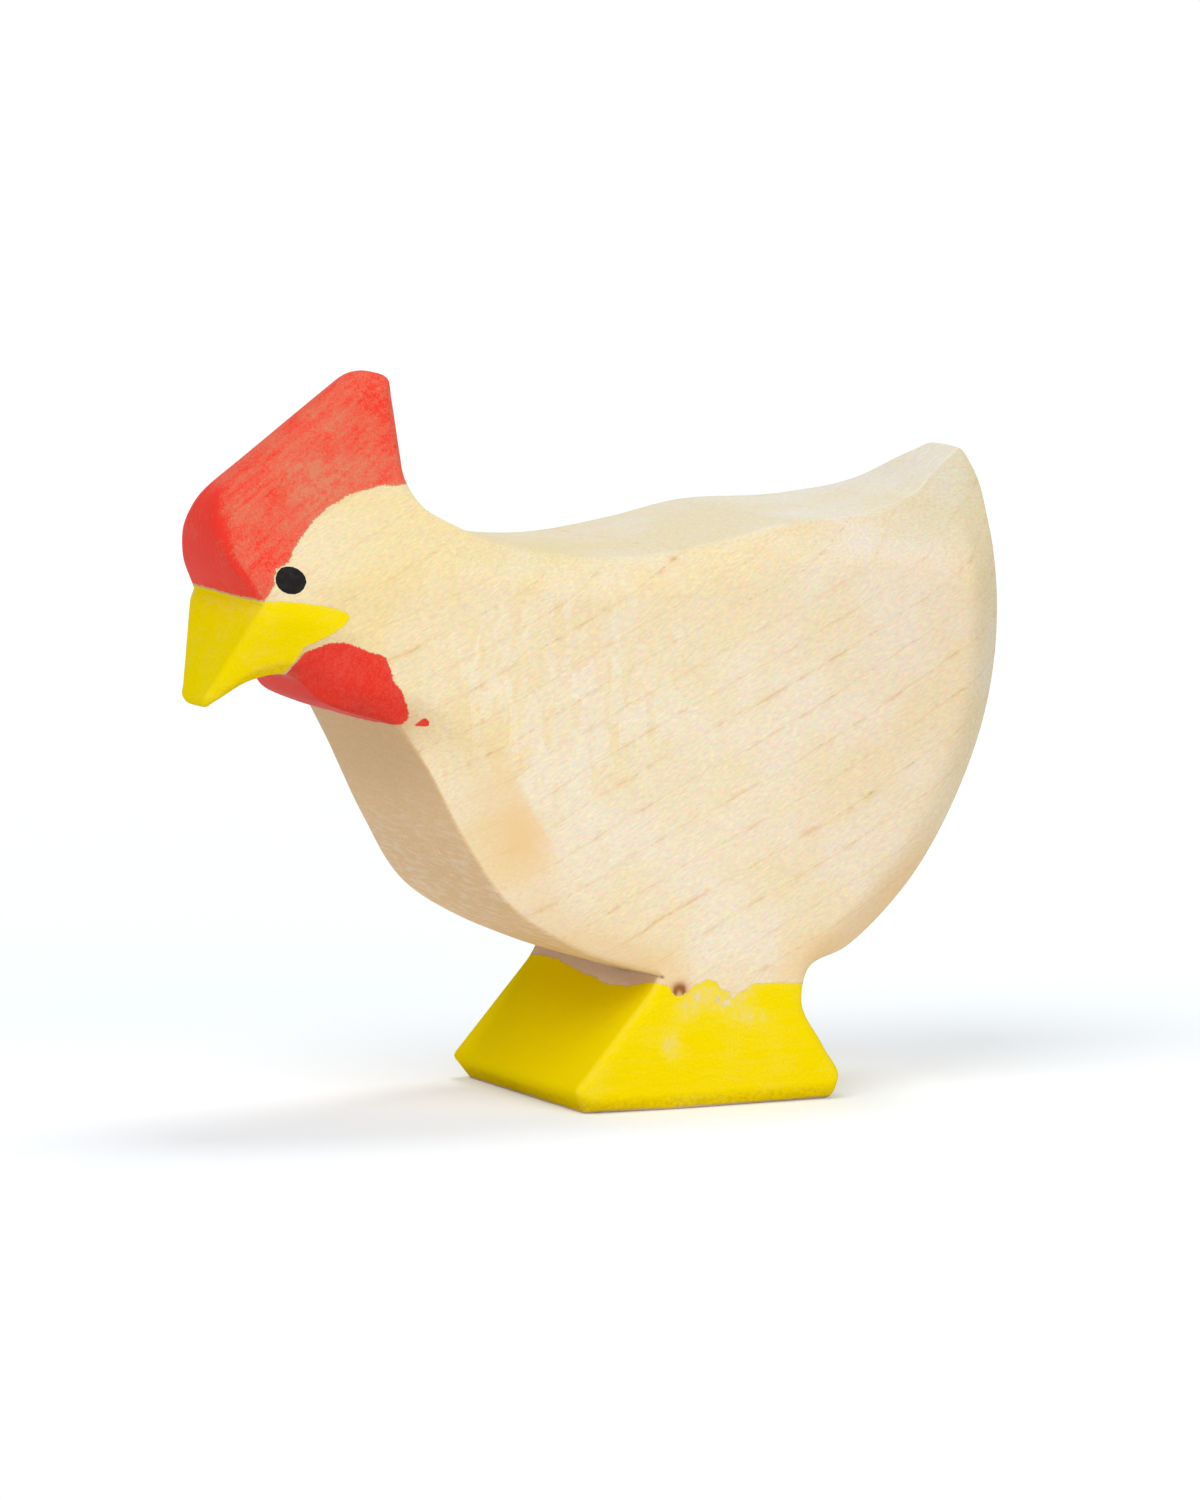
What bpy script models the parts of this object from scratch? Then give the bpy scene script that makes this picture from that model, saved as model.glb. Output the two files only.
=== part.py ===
"""Wooden chicken figure, a small hand-carved toy hen.

One maple block, sawn to the outline from 25 mm board, tapered at the head and the
tail and eased along its edges.  Four coats of paint and two eye dots lie flush in it.
The beak points to -X, the hen's left side is -Y and +Z is up.  The origin is on the
floor, below the middle of the figure.  All sizes are in millimetres.
"""
import bpy
import bmesh
import numpy as np
from mathutils import Vector
from mathutils.geometry import delaunay_2d_cdt

MM = 0.001

# Driving dimensions
BOARD_HALF = 12.4
COAT = 0.4
FIT_GAP = 0.3
EYE_CENTRE = (-28.6, 44.0)
EYE_RADIUS = 1.18
EYE_SIDES = 16
EDGE_CROWN = 0.035

# Fineness of the mesh
OUTLINE_STEP = 1.3
RING_INSETS = (COAT, COAT + FIT_GAP, 1.6, 2.9)
GRID_STEP = 2.3
GRID_MARGIN = 4.0
LEAST_SPACING = 0.2
EDGE_RUNS = 4

SMOOTH = "smooth"
CORNER = "corner"
STRAIGHT = "straight run"
CORNER_STRAIGHT = "corner and straight run"

# The outline, round the figure from the comb's top towards the beak.  Each station
# has its x and z, half the block's thickness at the sawn edge, and how far the eased
# edge reaches in.  A straight run goes from its station to the next.
STATIONS = (
    # top of the comb
    (-16.9, 57.8, 2.0, 1.2, SMOOTH),
    (-17.2, 59.2, 1.7, 1.0, SMOOTH),
    (-18.5, 59.7, 1.4, 1.0, SMOOTH),
    (-20.1, 59.6, 1.4, 1.0, SMOOTH),
    (-21.4, 58.9, 1.5, 1.0, SMOOTH),
    # forehead
    (-26.15, 55.45, 1.95, 1.2, SMOOTH),
    (-30.9, 51.9, 2.4, 1.4, SMOOTH),
    (-32.6, 50.1, 3.2, 1.4, SMOOTH),
    (-33.3, 47.9, 4.0, 1.4, SMOOTH),
    (-32.7, 45.2, 5.4, 1.4, SMOOTH),
    # beak
    (-30.8, 42.0, 7.2, 1.2, CORNER_STRAIGHT),
    (-33.7, 34.6, 2.8, 1.0, SMOOTH),
    (-34.05, 33.6, 2.1, 0.8, SMOOTH),
    (-33.0, 33.8, 2.4, 0.8, SMOOTH),
    (-30.3, 35.6, 3.7, 1.0, SMOOTH),
    # wattle
    (-27.5, 36.0, 4.9, 1.4, SMOOTH),
    (-25.2, 33.9, 6.4, 1.8, SMOOTH),
    (-20.1, 32.1, 8.8, 3.0, CORNER),
    # chest and belly
    (-18.0, 28.8, 9.7, 6.0, SMOOTH),
    (-14.7, 22.5, 10.3, 6.5, SMOOTH),
    (-10.75, 16.8, 11.2, 6.0, SMOOTH),
    (-5.5, 13.45, 11.8, 4.0, SMOOTH),
    # foot
    (1.9, 10.9, 12.1, 2.0, CORNER_STRAIGHT),
    (-5.3, 2.2, 12.2, 1.2, SMOOTH),
    (-5.6, 1.3, 12.0, 1.2, SMOOTH),
    (-4.5, 0.0, 11.4, 1.4, STRAIGHT),
    (17.0, 0.0, 11.4, 1.4, SMOOTH),
    (17.9, 1.6, 12.1, 1.2, SMOOTH),
    (16.5, 4.4, 12.2, 1.2, SMOOTH),
    (14.6, 8.2, 12.1, 1.2, SMOOTH),
    # rump
    (15.2, 10.5, 11.9, 1.6, SMOOTH),
    (18.9, 12.2, 11.3, 3.0, SMOOTH),
    (24.7, 17.0, 10.6, 3.6, SMOOTH),
    (29.5, 24.1, 10.1, 3.6, SMOOTH),
    (32.4, 32.0, 10.0, 3.6, SMOOTH),
    (33.3, 40.0, 9.7, 4.0, SMOOTH),
    (33.5, 46.0, 7.6, 3.6, SMOOTH),
    # tail
    (33.9, 50.1, 3.8, 2.4, SMOOTH),
    (33.3, 51.5, 2.9, 2.0, SMOOTH),
    (31.6, 50.8, 3.6, 2.4, SMOOTH),
    (27.5, 48.5, 6.2, 3.6, SMOOTH),
    # back
    (22.0, 47.3, 8.6, 3.6, SMOOTH),
    (14.0, 47.0, 10.5, 3.6, SMOOTH),
    (7.0, 45.7, 10.7, 3.6, SMOOTH),
    (-0.7, 44.9, 10.4, 3.6, SMOOTH),
    (-8.0, 45.7, 9.7, 3.4, SMOOTH),
    # neck and the comb's rear edge
    (-14.2, 47.7, 8.6, 3.0, SMOOTH),
    (-16.9, 49.7, 6.8, 2.4, SMOOTH),
    (-17.3, 52.2, 4.7, 1.6, STRAIGHT),
)

# Borders of the paint, as seen from the side.  They run past the outline, so a coat
# also takes in the sawn edge between its two sides.
COMB_BORDER = (
    (-15.0, 50.9), (-20.0, 50.9), (-21.9, 50.5), (-23.7, 49.6), (-25.6, 48.4), (-27.1, 47.1),
    (-28.4, 46.2), (-30.3, 44.9), (-31.3, 42.4), (-36.0, 42.2), (-36.0, 62.0), (-15.0, 62.0),
)
BEAK_BORDER = (
    (-36.0, 42.3), (-30.6, 42.5), (-27.7, 42.2), (-25.7, 41.9), (-24.0, 41.1), (-24.2, 40.5),
    (-25.2, 39.8), (-26.2, 38.9), (-27.3, 38.3), (-27.7, 37.2), (-27.8, 36.3), (-28.2, 35.0),
    (-30.0, 31.0), (-36.0, 31.0),
)
WATTLE_BORDER = (
    (-27.95, 36.3), (-27.85, 37.2), (-27.45, 38.4), (-26.4, 39.05), (-24.3, 38.9), (-23.1, 38.5),
    (-21.4, 37.9), (-20.6, 35.7), (-19.8, 34.6), (-19.3, 33.3), (-20.0, 32.2), (-21.5, 30.6),
    (-28.0, 31.0), (-28.35, 35.0),
)
FOOT_BORDER = (
    (-8.0, 9.3), (1.2, 9.3), (2.6, 10.0), (6.5, 10.2), (10.0, 9.9), (20.0, 9.8),
    (20.0, 0.3), (-8.0, 0.3),
)

# Colour, roughness
WOOD = ((0.90, 0.76, 0.54), 0.55)
COMB_RED = ((0.74, 0.10, 0.07), 0.45)
WATTLE_RED = ((0.80, 0.05, 0.03), 0.45)
YELLOW = ((0.95, 0.70, 0.01), 0.40)
BLACK = ((0.012, 0.012, 0.012), 0.50)


def regular_polygon(centre, radius, sides):
    """Return the corners of a regular polygon as x, z pairs."""
    angles = 2.0 * np.pi * np.arange(sides) / sides
    return tuple((centre[0] + radius * np.cos(a), centre[1] + radius * np.sin(a)) for a in angles)


EYE_BORDER = regular_polygon(EYE_CENTRE, EYE_RADIUS + FIT_GAP, EYE_SIDES)
THROUGH = (-20.0, 20.0)
LEFT = (-20.0, 0.0)
RIGHT = (0.0, 20.0)

# Node name, border of its place in the block, sides that it covers, finish
COATS = (
    ("comb_coat", COMB_BORDER, THROUGH, COMB_RED),
    ("beak_coat", BEAK_BORDER, THROUGH, YELLOW),
    ("wattle_coat", WATTLE_BORDER, THROUGH, WATTLE_RED),
    ("foot_coat", FOOT_BORDER, THROUGH, YELLOW),
    ("left_eye", EYE_BORDER, LEFT, BLACK),
    ("right_eye", EYE_BORDER, RIGHT, BLACK),
)


def sample_outline(step):
    """Return points x, z, half thickness, easing along a smooth curve through the stations."""
    values = np.array([station[:4] for station in STATIONS])
    kinds = [station[4] for station in STATIONS]
    straight = [kind in (STRAIGHT, CORNER_STRAIGHT) for kind in kinds]
    corner = [kind in (CORNER, CORNER_STRAIGHT) for kind in kinds]
    run = np.roll(values, -1, axis=0) - values
    length = np.linalg.norm(run[:, :2], axis=1)
    slope = run / length[:, None]

    def tangent(i, leaving):
        before = (i - 1) % len(values)
        if corner[i]:
            return slope[i] if leaving else slope[before]
        if straight[i]:
            return slope[i]
        if straight[before]:
            return slope[before]
        return (length[i] * slope[before] + length[before] * slope[i]) / (length[i] + length[before])

    pieces = []
    for i, start in enumerate(values):
        count = max(3, round(length[i] / step))
        t = (np.arange(count) / count)[:, None]
        if straight[i]:
            pieces.append(start + t * run[i])
            continue
        after = (i + 1) % len(values)
        leave = tangent(i, True) * length[i]
        arrive = tangent(after, False) * length[i]
        pieces.append(
            (2 * t**3 - 3 * t**2 + 1) * start + (t**3 - 2 * t**2 + t) * leave
            + (3 * t**2 - 2 * t**3) * values[after] + (t**3 - t**2) * arrive
        )
    return np.vstack(pieces)


def soft_min(a, b, width):
    """Return the smaller of a and b, with the corner between them rounded over width."""
    blend = np.clip(0.5 + 0.5 * (b - a) / width, 0.0, 1.0)
    return b + (a - b) * blend - width * blend * (1.0 - blend)


def soft_max(a, b, width):
    """Return the larger of a and b, with the corner between them rounded over width."""
    return -soft_min(-a, -b, width)


def carved_face(x, z):
    """Return half the thickness of the flat sides, with the tapers of the head and the tail."""
    head = 7.3 + 0.27 * (x + 30.95)
    towards_comb = head - 0.8 * soft_max(z - 44.0, 0.0, 1.5)
    comb = 1.7 + 0.42 * (59.7 - z) + 0.14 * np.minimum(x + 18.0, 0.0)
    upper = soft_max(towards_comb, np.minimum(comb, head), 1.0)
    beak_cut = 0.6 * np.clip((-23.0 - x) / 5.0, 0.0, 1.0)
    lower = upper - beak_cut * soft_max(41.0 - z, 0.0, 1.5)
    tail = 3.4 + 0.98 * (51.3 - z) + 0.16 * (33.0 - x)
    return soft_min(soft_max(lower, 1.2, 0.5), soft_min(tail, BOARD_HALF, 2.0), 2.0)


def distances(point, closed):
    """Return how far a point is from each run of a closed outline, and where along the run."""
    run = np.roll(closed, -1, axis=0) - closed
    offset = np.array(point) - closed
    share = np.clip(np.sum(offset * run, axis=1) / np.sum(run**2, axis=1), 0.0, 1.0)
    gap = offset - share[:, None] * run
    return np.hypot(gap[:, 0], gap[:, 1]), share


def half_thickness(x, z, rim):
    """Return half the block's thickness at x, z, easing down to the sawn edge."""
    away, share = distances((x, z), rim[:, :2])
    values = rim[:, 2:] + share[:, None] * (np.roll(rim, -1, axis=0) - rim)[:, 2:]
    edge, reach = np.average(values, axis=0, weights=(away + 0.05) ** -6.0)
    face = max(carved_face(x, z), edge)
    inset = min(away.min() / reach, 1.0)
    return edge + (face - edge) * (1.0 - (1.0 - inset) ** 1.7)


def inside(point, polygon):
    """Tell whether a point lies inside a closed polygon."""
    x, z = point
    crossed = False
    for (x0, z0), (x1, z1) in zip(polygon, polygon[1:] + polygon[:1]):
        if (z0 > z) != (z1 > z) and x < x0 + (z - z0) * (x1 - x0) / (z1 - z0):
            crossed = not crossed
    return crossed


def outward_normals(points):
    """Return the outward normals at the corners of a closed anticlockwise outline."""
    run = np.roll(points, -1, axis=0) - np.roll(points, 1, axis=0)
    return np.column_stack((run[:, 1], -run[:, 0])) / np.linalg.norm(run, axis=1)[:, None]


def shrink(polygon, inset):
    """Return a polygon whose sides are moved in by an even distance, mitred at the corners."""
    points = np.array(polygon)
    run = np.roll(points, -1, axis=0) - points
    run /= np.linalg.norm(run, axis=1)[:, None]
    area = np.sum(points[:, 0] * np.roll(points[:, 1], -1) - np.roll(points[:, 0], -1) * points[:, 1])
    inward = np.sign(area) * np.column_stack((-run[:, 1], run[:, 0]))
    before = np.roll(inward, 1, axis=0)
    mitre = (inward + before) / (1.0 + np.sum(inward * before, axis=1))[:, None]
    return points + inset * mitre


def moved_in(rim, inset, sole):
    """Return the outline moved in by an even distance, with the sole at its own height."""
    points = shrink(rim[:, :2], inset)
    points[rim[:, 1] < 0.01, 1] = sole
    return [
        (x, z) for x, z in points
        if z == 0.0 or distances((x, z), rim[:, :2])[0].min() >= 0.98 * inset
    ]


def grid_points(rim):
    """Return the points of a staggered grid inside the outline, clear of its edge."""
    closed = [tuple(row[:2]) for row in rim]
    points = []
    for row, z in enumerate(np.arange(0.0, 60.0, GRID_STEP * 0.87)):
        for x in np.arange(-36.0, 36.0, GRID_STEP) + (row % 2) * GRID_STEP / 2:
            clear = distances((x, z), rim[:, :2])[0].min() > GRID_MARGIN
            if clear and inside((x, z), closed):
                points.append((x, z))
    return points


def plan_mesh(rim, inset):
    """Triangulate the figure seen from the side; return its border, points and triangles.

    The rings and the grid are the same for every inset, so that solids of different
    insets lie evenly inside each other.
    """
    border = moved_in(rim, inset, 0.0)
    inner = grid_points(rim)
    for ring in RING_INSETS:
        inner.extend(moved_in(rim, ring, ring))
    points = list(border)
    for point in inner:
        clear = distances(point, np.array(border))[0].min() > LEAST_SPACING
        apart = np.hypot(*(np.array(points) - point).T).min() > LEAST_SPACING
        if clear and apart and inside(point, border):
            points.append(point)
    edges = [(i, (i + 1) % len(border)) for i in range(len(border))]
    plan = delaunay_2d_cdt([Vector(point) for point in points], edges, [], 0, 1e-6)
    triangles = []
    for a, b, c in plan[2]:
        middle = (Vector(points[a]) + Vector(points[b]) + Vector(points[c])) / 3.0
        if inside(tuple(middle), border):
            triangles.append((a, b, c))
    return np.array(border), points, triangles


def carve(inset):
    """Build the closed figure, or the smaller one that lies evenly inside it."""
    rim = sample_outline(OUTLINE_STEP)
    border, points, triangles = plan_mesh(rim, inset)
    depth = [half_thickness(x, z, rim) - inset for x, z in points]

    bm = bmesh.new()
    left = [bm.verts.new((x * MM, -y * MM, z * MM)) for (x, z), y in zip(points, depth)]
    right = [bm.verts.new((x * MM, y * MM, z * MM)) for (x, z), y in zip(points, depth)]
    for a, b, c in triangles:
        bm.faces.new((left[a], left[b], left[c]))
        bm.faces.new((right[c], right[b], right[a]))
    add_sawn_edge(bm, border, depth, left, right)
    bmesh.ops.recalc_face_normals(bm, faces=bm.faces)
    return bm


def add_sawn_edge(bm, border, depth, left, right):
    """Join the two sides by the sawn edge, which is slightly crowned but on the sole."""
    columns = []
    for i, (point, normal) in enumerate(zip(border, outward_normals(border))):
        crown = EDGE_CROWN * depth[i] * min(max((point[1] - 0.7) / 2.0, 0.0), 1.0)
        column = [left[i]]
        for step in range(1, EDGE_RUNS):
            share = 2.0 * step / EDGE_RUNS - 1.0
            x, z = point + crown * (1.0 - share**2) * normal
            column.append(bm.verts.new((x * MM, share * depth[i] * MM, z * MM)))
        columns.append(column + [right[i]])
    for i, column in enumerate(columns):
        following = columns[(i + 1) % len(columns)]
        for step in range(EDGE_RUNS):
            bm.faces.new((column[step], column[step + 1], following[step + 1], following[step]))


def prism(border, span):
    """Build a block with the given border seen from the side, across the given span of y."""
    bm = bmesh.new()
    corners = [bm.verts.new((x * MM, span[0] * MM, z * MM)) for x, z in border]
    bm.faces.new(corners)
    block = bmesh.ops.extrude_face_region(bm, geom=list(bm.faces))
    moved = [item for item in block["geom"] if isinstance(item, bmesh.types.BMVert)]
    bmesh.ops.translate(bm, verts=moved, vec=(0.0, (span[1] - span[0]) * MM, 0.0))
    bmesh.ops.recalc_face_normals(bm, faces=bm.faces)
    return bm


def material(name, finish):
    """Make a Principled material of one colour and roughness."""
    colour, roughness = finish
    made = bpy.data.materials.new(name)
    made.use_nodes = True
    shader = made.node_tree.nodes["Principled BSDF"]
    shader.inputs["Base Color"].default_value = (*colour, 1.0)
    shader.inputs["Roughness"].default_value = roughness
    shader.inputs["Metallic"].default_value = 0.0
    return made


def add_object(name, bm):
    """Turn a bmesh into a named object."""
    mesh = bpy.data.meshes.new(name)
    bm.to_mesh(mesh)
    bm.free()
    made = bpy.data.objects.new(name, mesh)
    bpy.context.scene.collection.objects.link(made)
    return made


def add_cutter(name, bm):
    """Add a solid that only cuts or joins others and isn't itself part of the figure."""
    cutter = add_object(name, bm)
    cutter.hide_render = True
    cutter.display_type = "WIRE"
    return cutter


def add_piece(name, bm, finish):
    """Add a piece of the figure with its own material, smooth but for its real edges."""
    piece = add_object(name, bm)
    piece.data.materials.append(material(name + "_finish", finish))
    piece.data.shade_smooth()
    piece.data.set_sharp_from_angle(angle=np.radians(35.0))
    return piece


def combine(piece, operation, other):
    """Cut a piece with another solid, or join or limit it to it."""
    step = piece.modifiers.new(other.name, "BOOLEAN")
    step.operation = operation
    step.object = other
    step.solver = "EXACT"


def main():
    for old in list(bpy.data.objects):
        bpy.data.objects.remove(old)

    bed = add_cutter("bed_under_paint", carve(COAT + FIT_GAP))
    underside = add_cutter("underside_of_paint", carve(COAT))
    body = add_piece("carved_body", carve(0.0), WOOD)
    for name, border, span, finish in COATS:
        combine(body, "DIFFERENCE", add_cutter(name + "_place", prism(border, span)))
        coat = add_piece(name, carve(0.0), finish)
        combine(coat, "INTERSECT", add_cutter(name + "_border", prism(shrink(border, FIT_GAP), span)))
        combine(coat, "DIFFERENCE", underside)
    combine(body, "UNION", bed)


main()
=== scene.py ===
"""Wooden chicken figure: a hand-carved toy hen with painted comb, beak, wattle and foot.

The hen is sawn from a board, carved by rule, and its paint is laid on the carved surface.
The beak points to -X, the hen's left side is -Y and +Z is up.  Tables are in millimetres,
because a carver works in them.  Meshes and settings are in metres, as the frame is.
"""
import math

import bpy
import numpy as np
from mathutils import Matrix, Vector, noise
from mathutils.geometry import delaunay_2d_cdt


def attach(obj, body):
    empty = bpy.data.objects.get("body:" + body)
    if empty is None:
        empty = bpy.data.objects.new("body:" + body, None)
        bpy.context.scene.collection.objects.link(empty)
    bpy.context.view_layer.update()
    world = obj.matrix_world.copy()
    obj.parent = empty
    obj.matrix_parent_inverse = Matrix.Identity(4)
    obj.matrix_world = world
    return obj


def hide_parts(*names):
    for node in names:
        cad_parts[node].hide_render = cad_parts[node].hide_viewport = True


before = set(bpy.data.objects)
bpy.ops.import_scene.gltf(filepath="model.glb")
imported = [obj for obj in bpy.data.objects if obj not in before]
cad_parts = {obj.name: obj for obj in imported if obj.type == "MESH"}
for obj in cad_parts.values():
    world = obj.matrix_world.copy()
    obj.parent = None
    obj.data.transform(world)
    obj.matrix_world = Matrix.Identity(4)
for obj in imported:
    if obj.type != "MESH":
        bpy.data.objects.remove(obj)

bl_info = {
    "name": "Carved Wooden Hen",
    "version": (1, 0, 0),
    "blender": (4, 5, 0),
    "location": "3D View > Sidebar > Hen",
    "description": "Builds a small hand-carved toy hen with brushed paint, and a plain stage",
    "category": "Object",
}

MM = 0.001
SURFACE = "hen_true_surface"
SHARP_ANGLE = math.radians(40.0)
# Depth of the relief of brush marks and pores, and of a dab, in metres
FINE_RELIEF = 0.00004
DAB_RELIEF = 0.00006

# Steps across an arris and across the sawn edge, and the roundest arris as a share of half
# the thickness there
ARRIS_STEPS = 3
EDGE_ROWS = 40
ROUNDING_LIMIT = 0.88
# Points on the two sides: two rings past the arris, then rows of a grid, whose height is a
# share of its step.  A ring has no point where a ridge is closer than the gap.
RING_DEPTHS = (0.4, 0.85)
GRID_DEPTH = 1.15
ROW_HEIGHT = 0.87
RIDGE_GAP = 0.15
RIDGE_SHARE = 0.97
# How the outline's values blend further in, and how many points are done at once
BLEND_GAP = 0.05
BLEND_POWER = -6.0
BATCH = 800
# Paint borders: what counts as on the line, how near an edge's end slides onto it, where a
# coat reaches its full thickness, and the value far outside a border
ON_LINE = 0.01
SNAP_SHARE = 0.28
PAINT_RAMP = 0.25
FAR_OUTSIDE = -9.0

# Tapers of the flat sides: the place where each is measured, half the thickness there and
# its change with every millimetre.  The head also thins above and below the eye, and below
# it the thinning grows from nothing to full between two places along the beak.
HEAD_PLACE, HEAD_HALF, HEAD_SLOPE = -30.95, 7.3, 0.27
ABOVE_EYE, ABOVE_EYE_SLOPE = 44.0, -0.8
BELOW_EYE, BELOW_EYE_SLOPE = 41.0, -0.6
BEAK_TAPER = (-23.0, -28.0)
COMB_TOP, COMB_HALF, COMB_SLOPE = 59.7, 1.7, -0.42
COMB_REAR, COMB_REAR_SLOPE = -18.0, 0.14
TAIL_PLACE, TAIL_HALF, TAIL_SLOPES = (33.0, 51.3), 3.4, (-0.16, -0.98)
THINNEST_HALF = 1.2
# How far the tapers blend into each other
EYE_BLEND = 2.25
COMB_BLEND = 1.5
BEAK_BLEND = 0.75
BOARD_BLEND = 3.0

SMOOTH = "smooth"
CORNER = "corner"
STRAIGHT = "straight run"
CORNER_STRAIGHT = "corner and straight run"

# The sawn outline, round the figure from the comb's top towards the beak.  Each station
# has its x and z, half the thickness at the sawn edge, how far the eased edge reaches in,
# and the radius of the rounded arris.  A straight run goes from its station to the next.
STATIONS = (
    # top of the comb
    (-16.9, 57.8, 2.0, 1.2, 1.3, SMOOTH),
    (-17.2, 59.2, 1.7, 1.0, 0.9, SMOOTH),
    (-18.5, 59.7, 1.4, 1.0, 1.0, SMOOTH),
    (-20.1, 59.6, 1.4, 1.0, 1.1, SMOOTH),
    (-21.4, 58.9, 1.5, 1.0, 1.3, STRAIGHT),
    # forehead
    (-30.9, 51.9, 2.4, 1.4, 2.0, SMOOTH),
    (-32.6, 50.1, 3.2, 1.4, 1.9, SMOOTH),
    (-33.3, 47.9, 4.0, 1.4, 1.4, SMOOTH),
    (-32.7, 45.2, 5.4, 1.4, 0.7, SMOOTH),
    # beak
    (-30.8, 42.0, 7.2, 1.2, 0.3, CORNER_STRAIGHT),
    (-31.3, 41.2, 6.8, 1.2, 0.3, CORNER_STRAIGHT),
    (-33.7, 34.8, 2.8, 1.0, 0.4, SMOOTH),
    (-34.0, 34.0, 2.3, 0.8, 0.4, SMOOTH),
    (-33.6, 33.4, 2.1, 0.8, 0.4, SMOOTH),
    (-32.8, 33.85, 2.3, 0.8, 0.4, SMOOTH),
    (-30.3, 35.6, 3.7, 1.0, 0.3, SMOOTH),
    # wattle
    (-27.5, 36.0, 4.9, 1.4, 0.4, SMOOTH),
    (-25.2, 33.9, 6.4, 1.8, 0.4, SMOOTH),
    (-20.1, 32.1, 8.8, 3.0, 0.4, CORNER),
    # chest and belly
    (-18.0, 28.8, 9.7, 6.0, 0.3, SMOOTH),
    (-14.7, 22.5, 10.3, 6.5, 0.3, SMOOTH),
    (-10.75, 16.8, 11.2, 6.0, 0.3, SMOOTH),
    (-5.5, 13.45, 11.8, 4.0, 0.3, SMOOTH),
    # foot
    (1.8, 10.9, 12.1, 2.0, 0.4, CORNER),
    (0.8, 9.4, 12.1, 1.2, 0.5, STRAIGHT),
    (-5.2, 2.6, 12.2, 0.8, 0.5, SMOOTH),
    (-5.6, 1.6, 12.1, 0.8, 0.3, STRAIGHT),
    (-4.5, 0.0, 11.2, 1.0, 0.25, CORNER_STRAIGHT),
    (3.0, 0.0, 12.0, 0.8, 0.25, STRAIGHT),
    (17.0, 0.0, 11.4, 1.0, 0.25, SMOOTH),
    (17.9, 1.6, 12.1, 0.8, 0.4, SMOOTH),
    (16.5, 4.4, 12.2, 0.8, 0.4, SMOOTH),
    (14.6, 8.2, 12.1, 1.0, 0.4, SMOOTH),
    # rump
    (15.2, 10.6, 11.9, 1.6, 0.4, SMOOTH),
    (18.9, 12.2, 11.3, 3.0, 0.4, SMOOTH),
    (24.7, 17.0, 10.6, 3.6, 0.4, SMOOTH),
    (29.5, 24.1, 10.1, 3.6, 0.4, SMOOTH),
    (32.4, 32.0, 10.0, 3.6, 0.4, SMOOTH),
    (33.3, 40.0, 9.7, 4.0, 0.4, SMOOTH),
    (33.5, 46.0, 7.6, 3.6, 0.4, SMOOTH),
    # tail
    (33.9, 50.1, 3.8, 2.4, 0.4, SMOOTH),
    (33.3, 51.5, 2.9, 2.0, 0.5, SMOOTH),
    (31.6, 50.8, 3.6, 2.4, 0.4, SMOOTH),
    (27.5, 48.5, 6.2, 3.6, 0.4, SMOOTH),
    # back
    (22.0, 47.3, 8.6, 3.6, 0.4, SMOOTH),
    (14.0, 47.0, 10.5, 3.6, 0.4, SMOOTH),
    (7.0, 45.7, 10.7, 3.6, 0.4, SMOOTH),
    (-0.7, 44.9, 10.4, 3.6, 0.4, SMOOTH),
    (-8.0, 45.7, 9.7, 3.4, 0.4, SMOOTH),
    # neck and the comb's rear edge
    (-14.2, 47.7, 8.6, 3.0, 0.4, SMOOTH),
    (-16.9, 49.7, 6.8, 2.4, 0.5, SMOOTH),
    (-17.3, 52.2, 4.7, 1.6, 0.8, STRAIGHT),
)

# Borders of the paint seen from the side.  They run past the outline, so the paint goes on
# over the sawn edge.
COMB_BORDER = (
    (-15.0, 50.9), (-18.0, 50.9), (-20.0, 50.9), (-21.9, 50.5), (-23.7, 49.6), (-25.6, 48.4),
    (-27.1, 46.9), (-28.3, 45.5), (-29.5, 44.2), (-30.1, 43.2), (-30.7, 42.4), (-36.0, 42.2),
    (-36.0, 62.0), (-15.0, 62.0),
)
BEAK_BORDER = (
    (-36.0, 42.3), (-30.8, 42.5), (-29.2, 42.4), (-27.7, 42.3), (-25.7, 41.9), (-24.3, 41.4),
    (-24.0, 41.0), (-24.3, 40.4), (-25.7, 39.4), (-27.3, 38.4), (-27.7, 36.9), (-27.9, 36.1),
    (-28.2, 35.0), (-30.0, 31.0), (-36.0, 31.0),
)
WATTLE_BORDER = (
    (-27.8, 35.9), (-27.8, 37.2), (-27.3, 38.1), (-25.9, 38.9), (-24.3, 39.0), (-23.1, 38.5),
    (-22.3, 38.1), (-21.4, 38.0), (-21.1, 37.2), (-20.8, 35.8), (-20.3, 35.3), (-19.8, 34.5),
    (-19.3, 33.5), (-19.3, 32.7), (-19.5, 32.0), (-20.0, 32.1), (-21.5, 30.6), (-28.0, 31.0),
    (-28.2, 35.0),
)
FOOT_BORDER = (
    (-8.0, 9.95), (1.4, 9.95), (2.1, 10.4), (2.7, 10.3), (2.9, 9.5), (3.3, 9.3), (4.1, 9.5),
    (4.5, 10.3), (5.1, 10.3), (6.1, 10.6), (6.9, 10.4), (7.1, 9.7), (8.6, 9.3), (9.9, 10.0),
    (11.4, 10.0), (13.0, 9.8), (14.4, 9.7), (20.0, 9.7), (20.0, 0.12), (-8.0, 0.12),
)
SPLASH_BORDER = ((-18.8, 32.3), (-18.65, 31.95), (-17.7, 32.0), (-17.8, 32.7), (-18.3, 32.75))
# How far the foot's paint reaches above its border on the front, at places across the board
FRONT_BRUSH_Y = (-12.4, -10.5, -8.0, -5.0, 0.0, 7.0, 12.4)
FRONT_BRUSH_RISE = (0.6, 0.45, -0.2, -0.3, -0.05, 0.3, 0.0)
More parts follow.
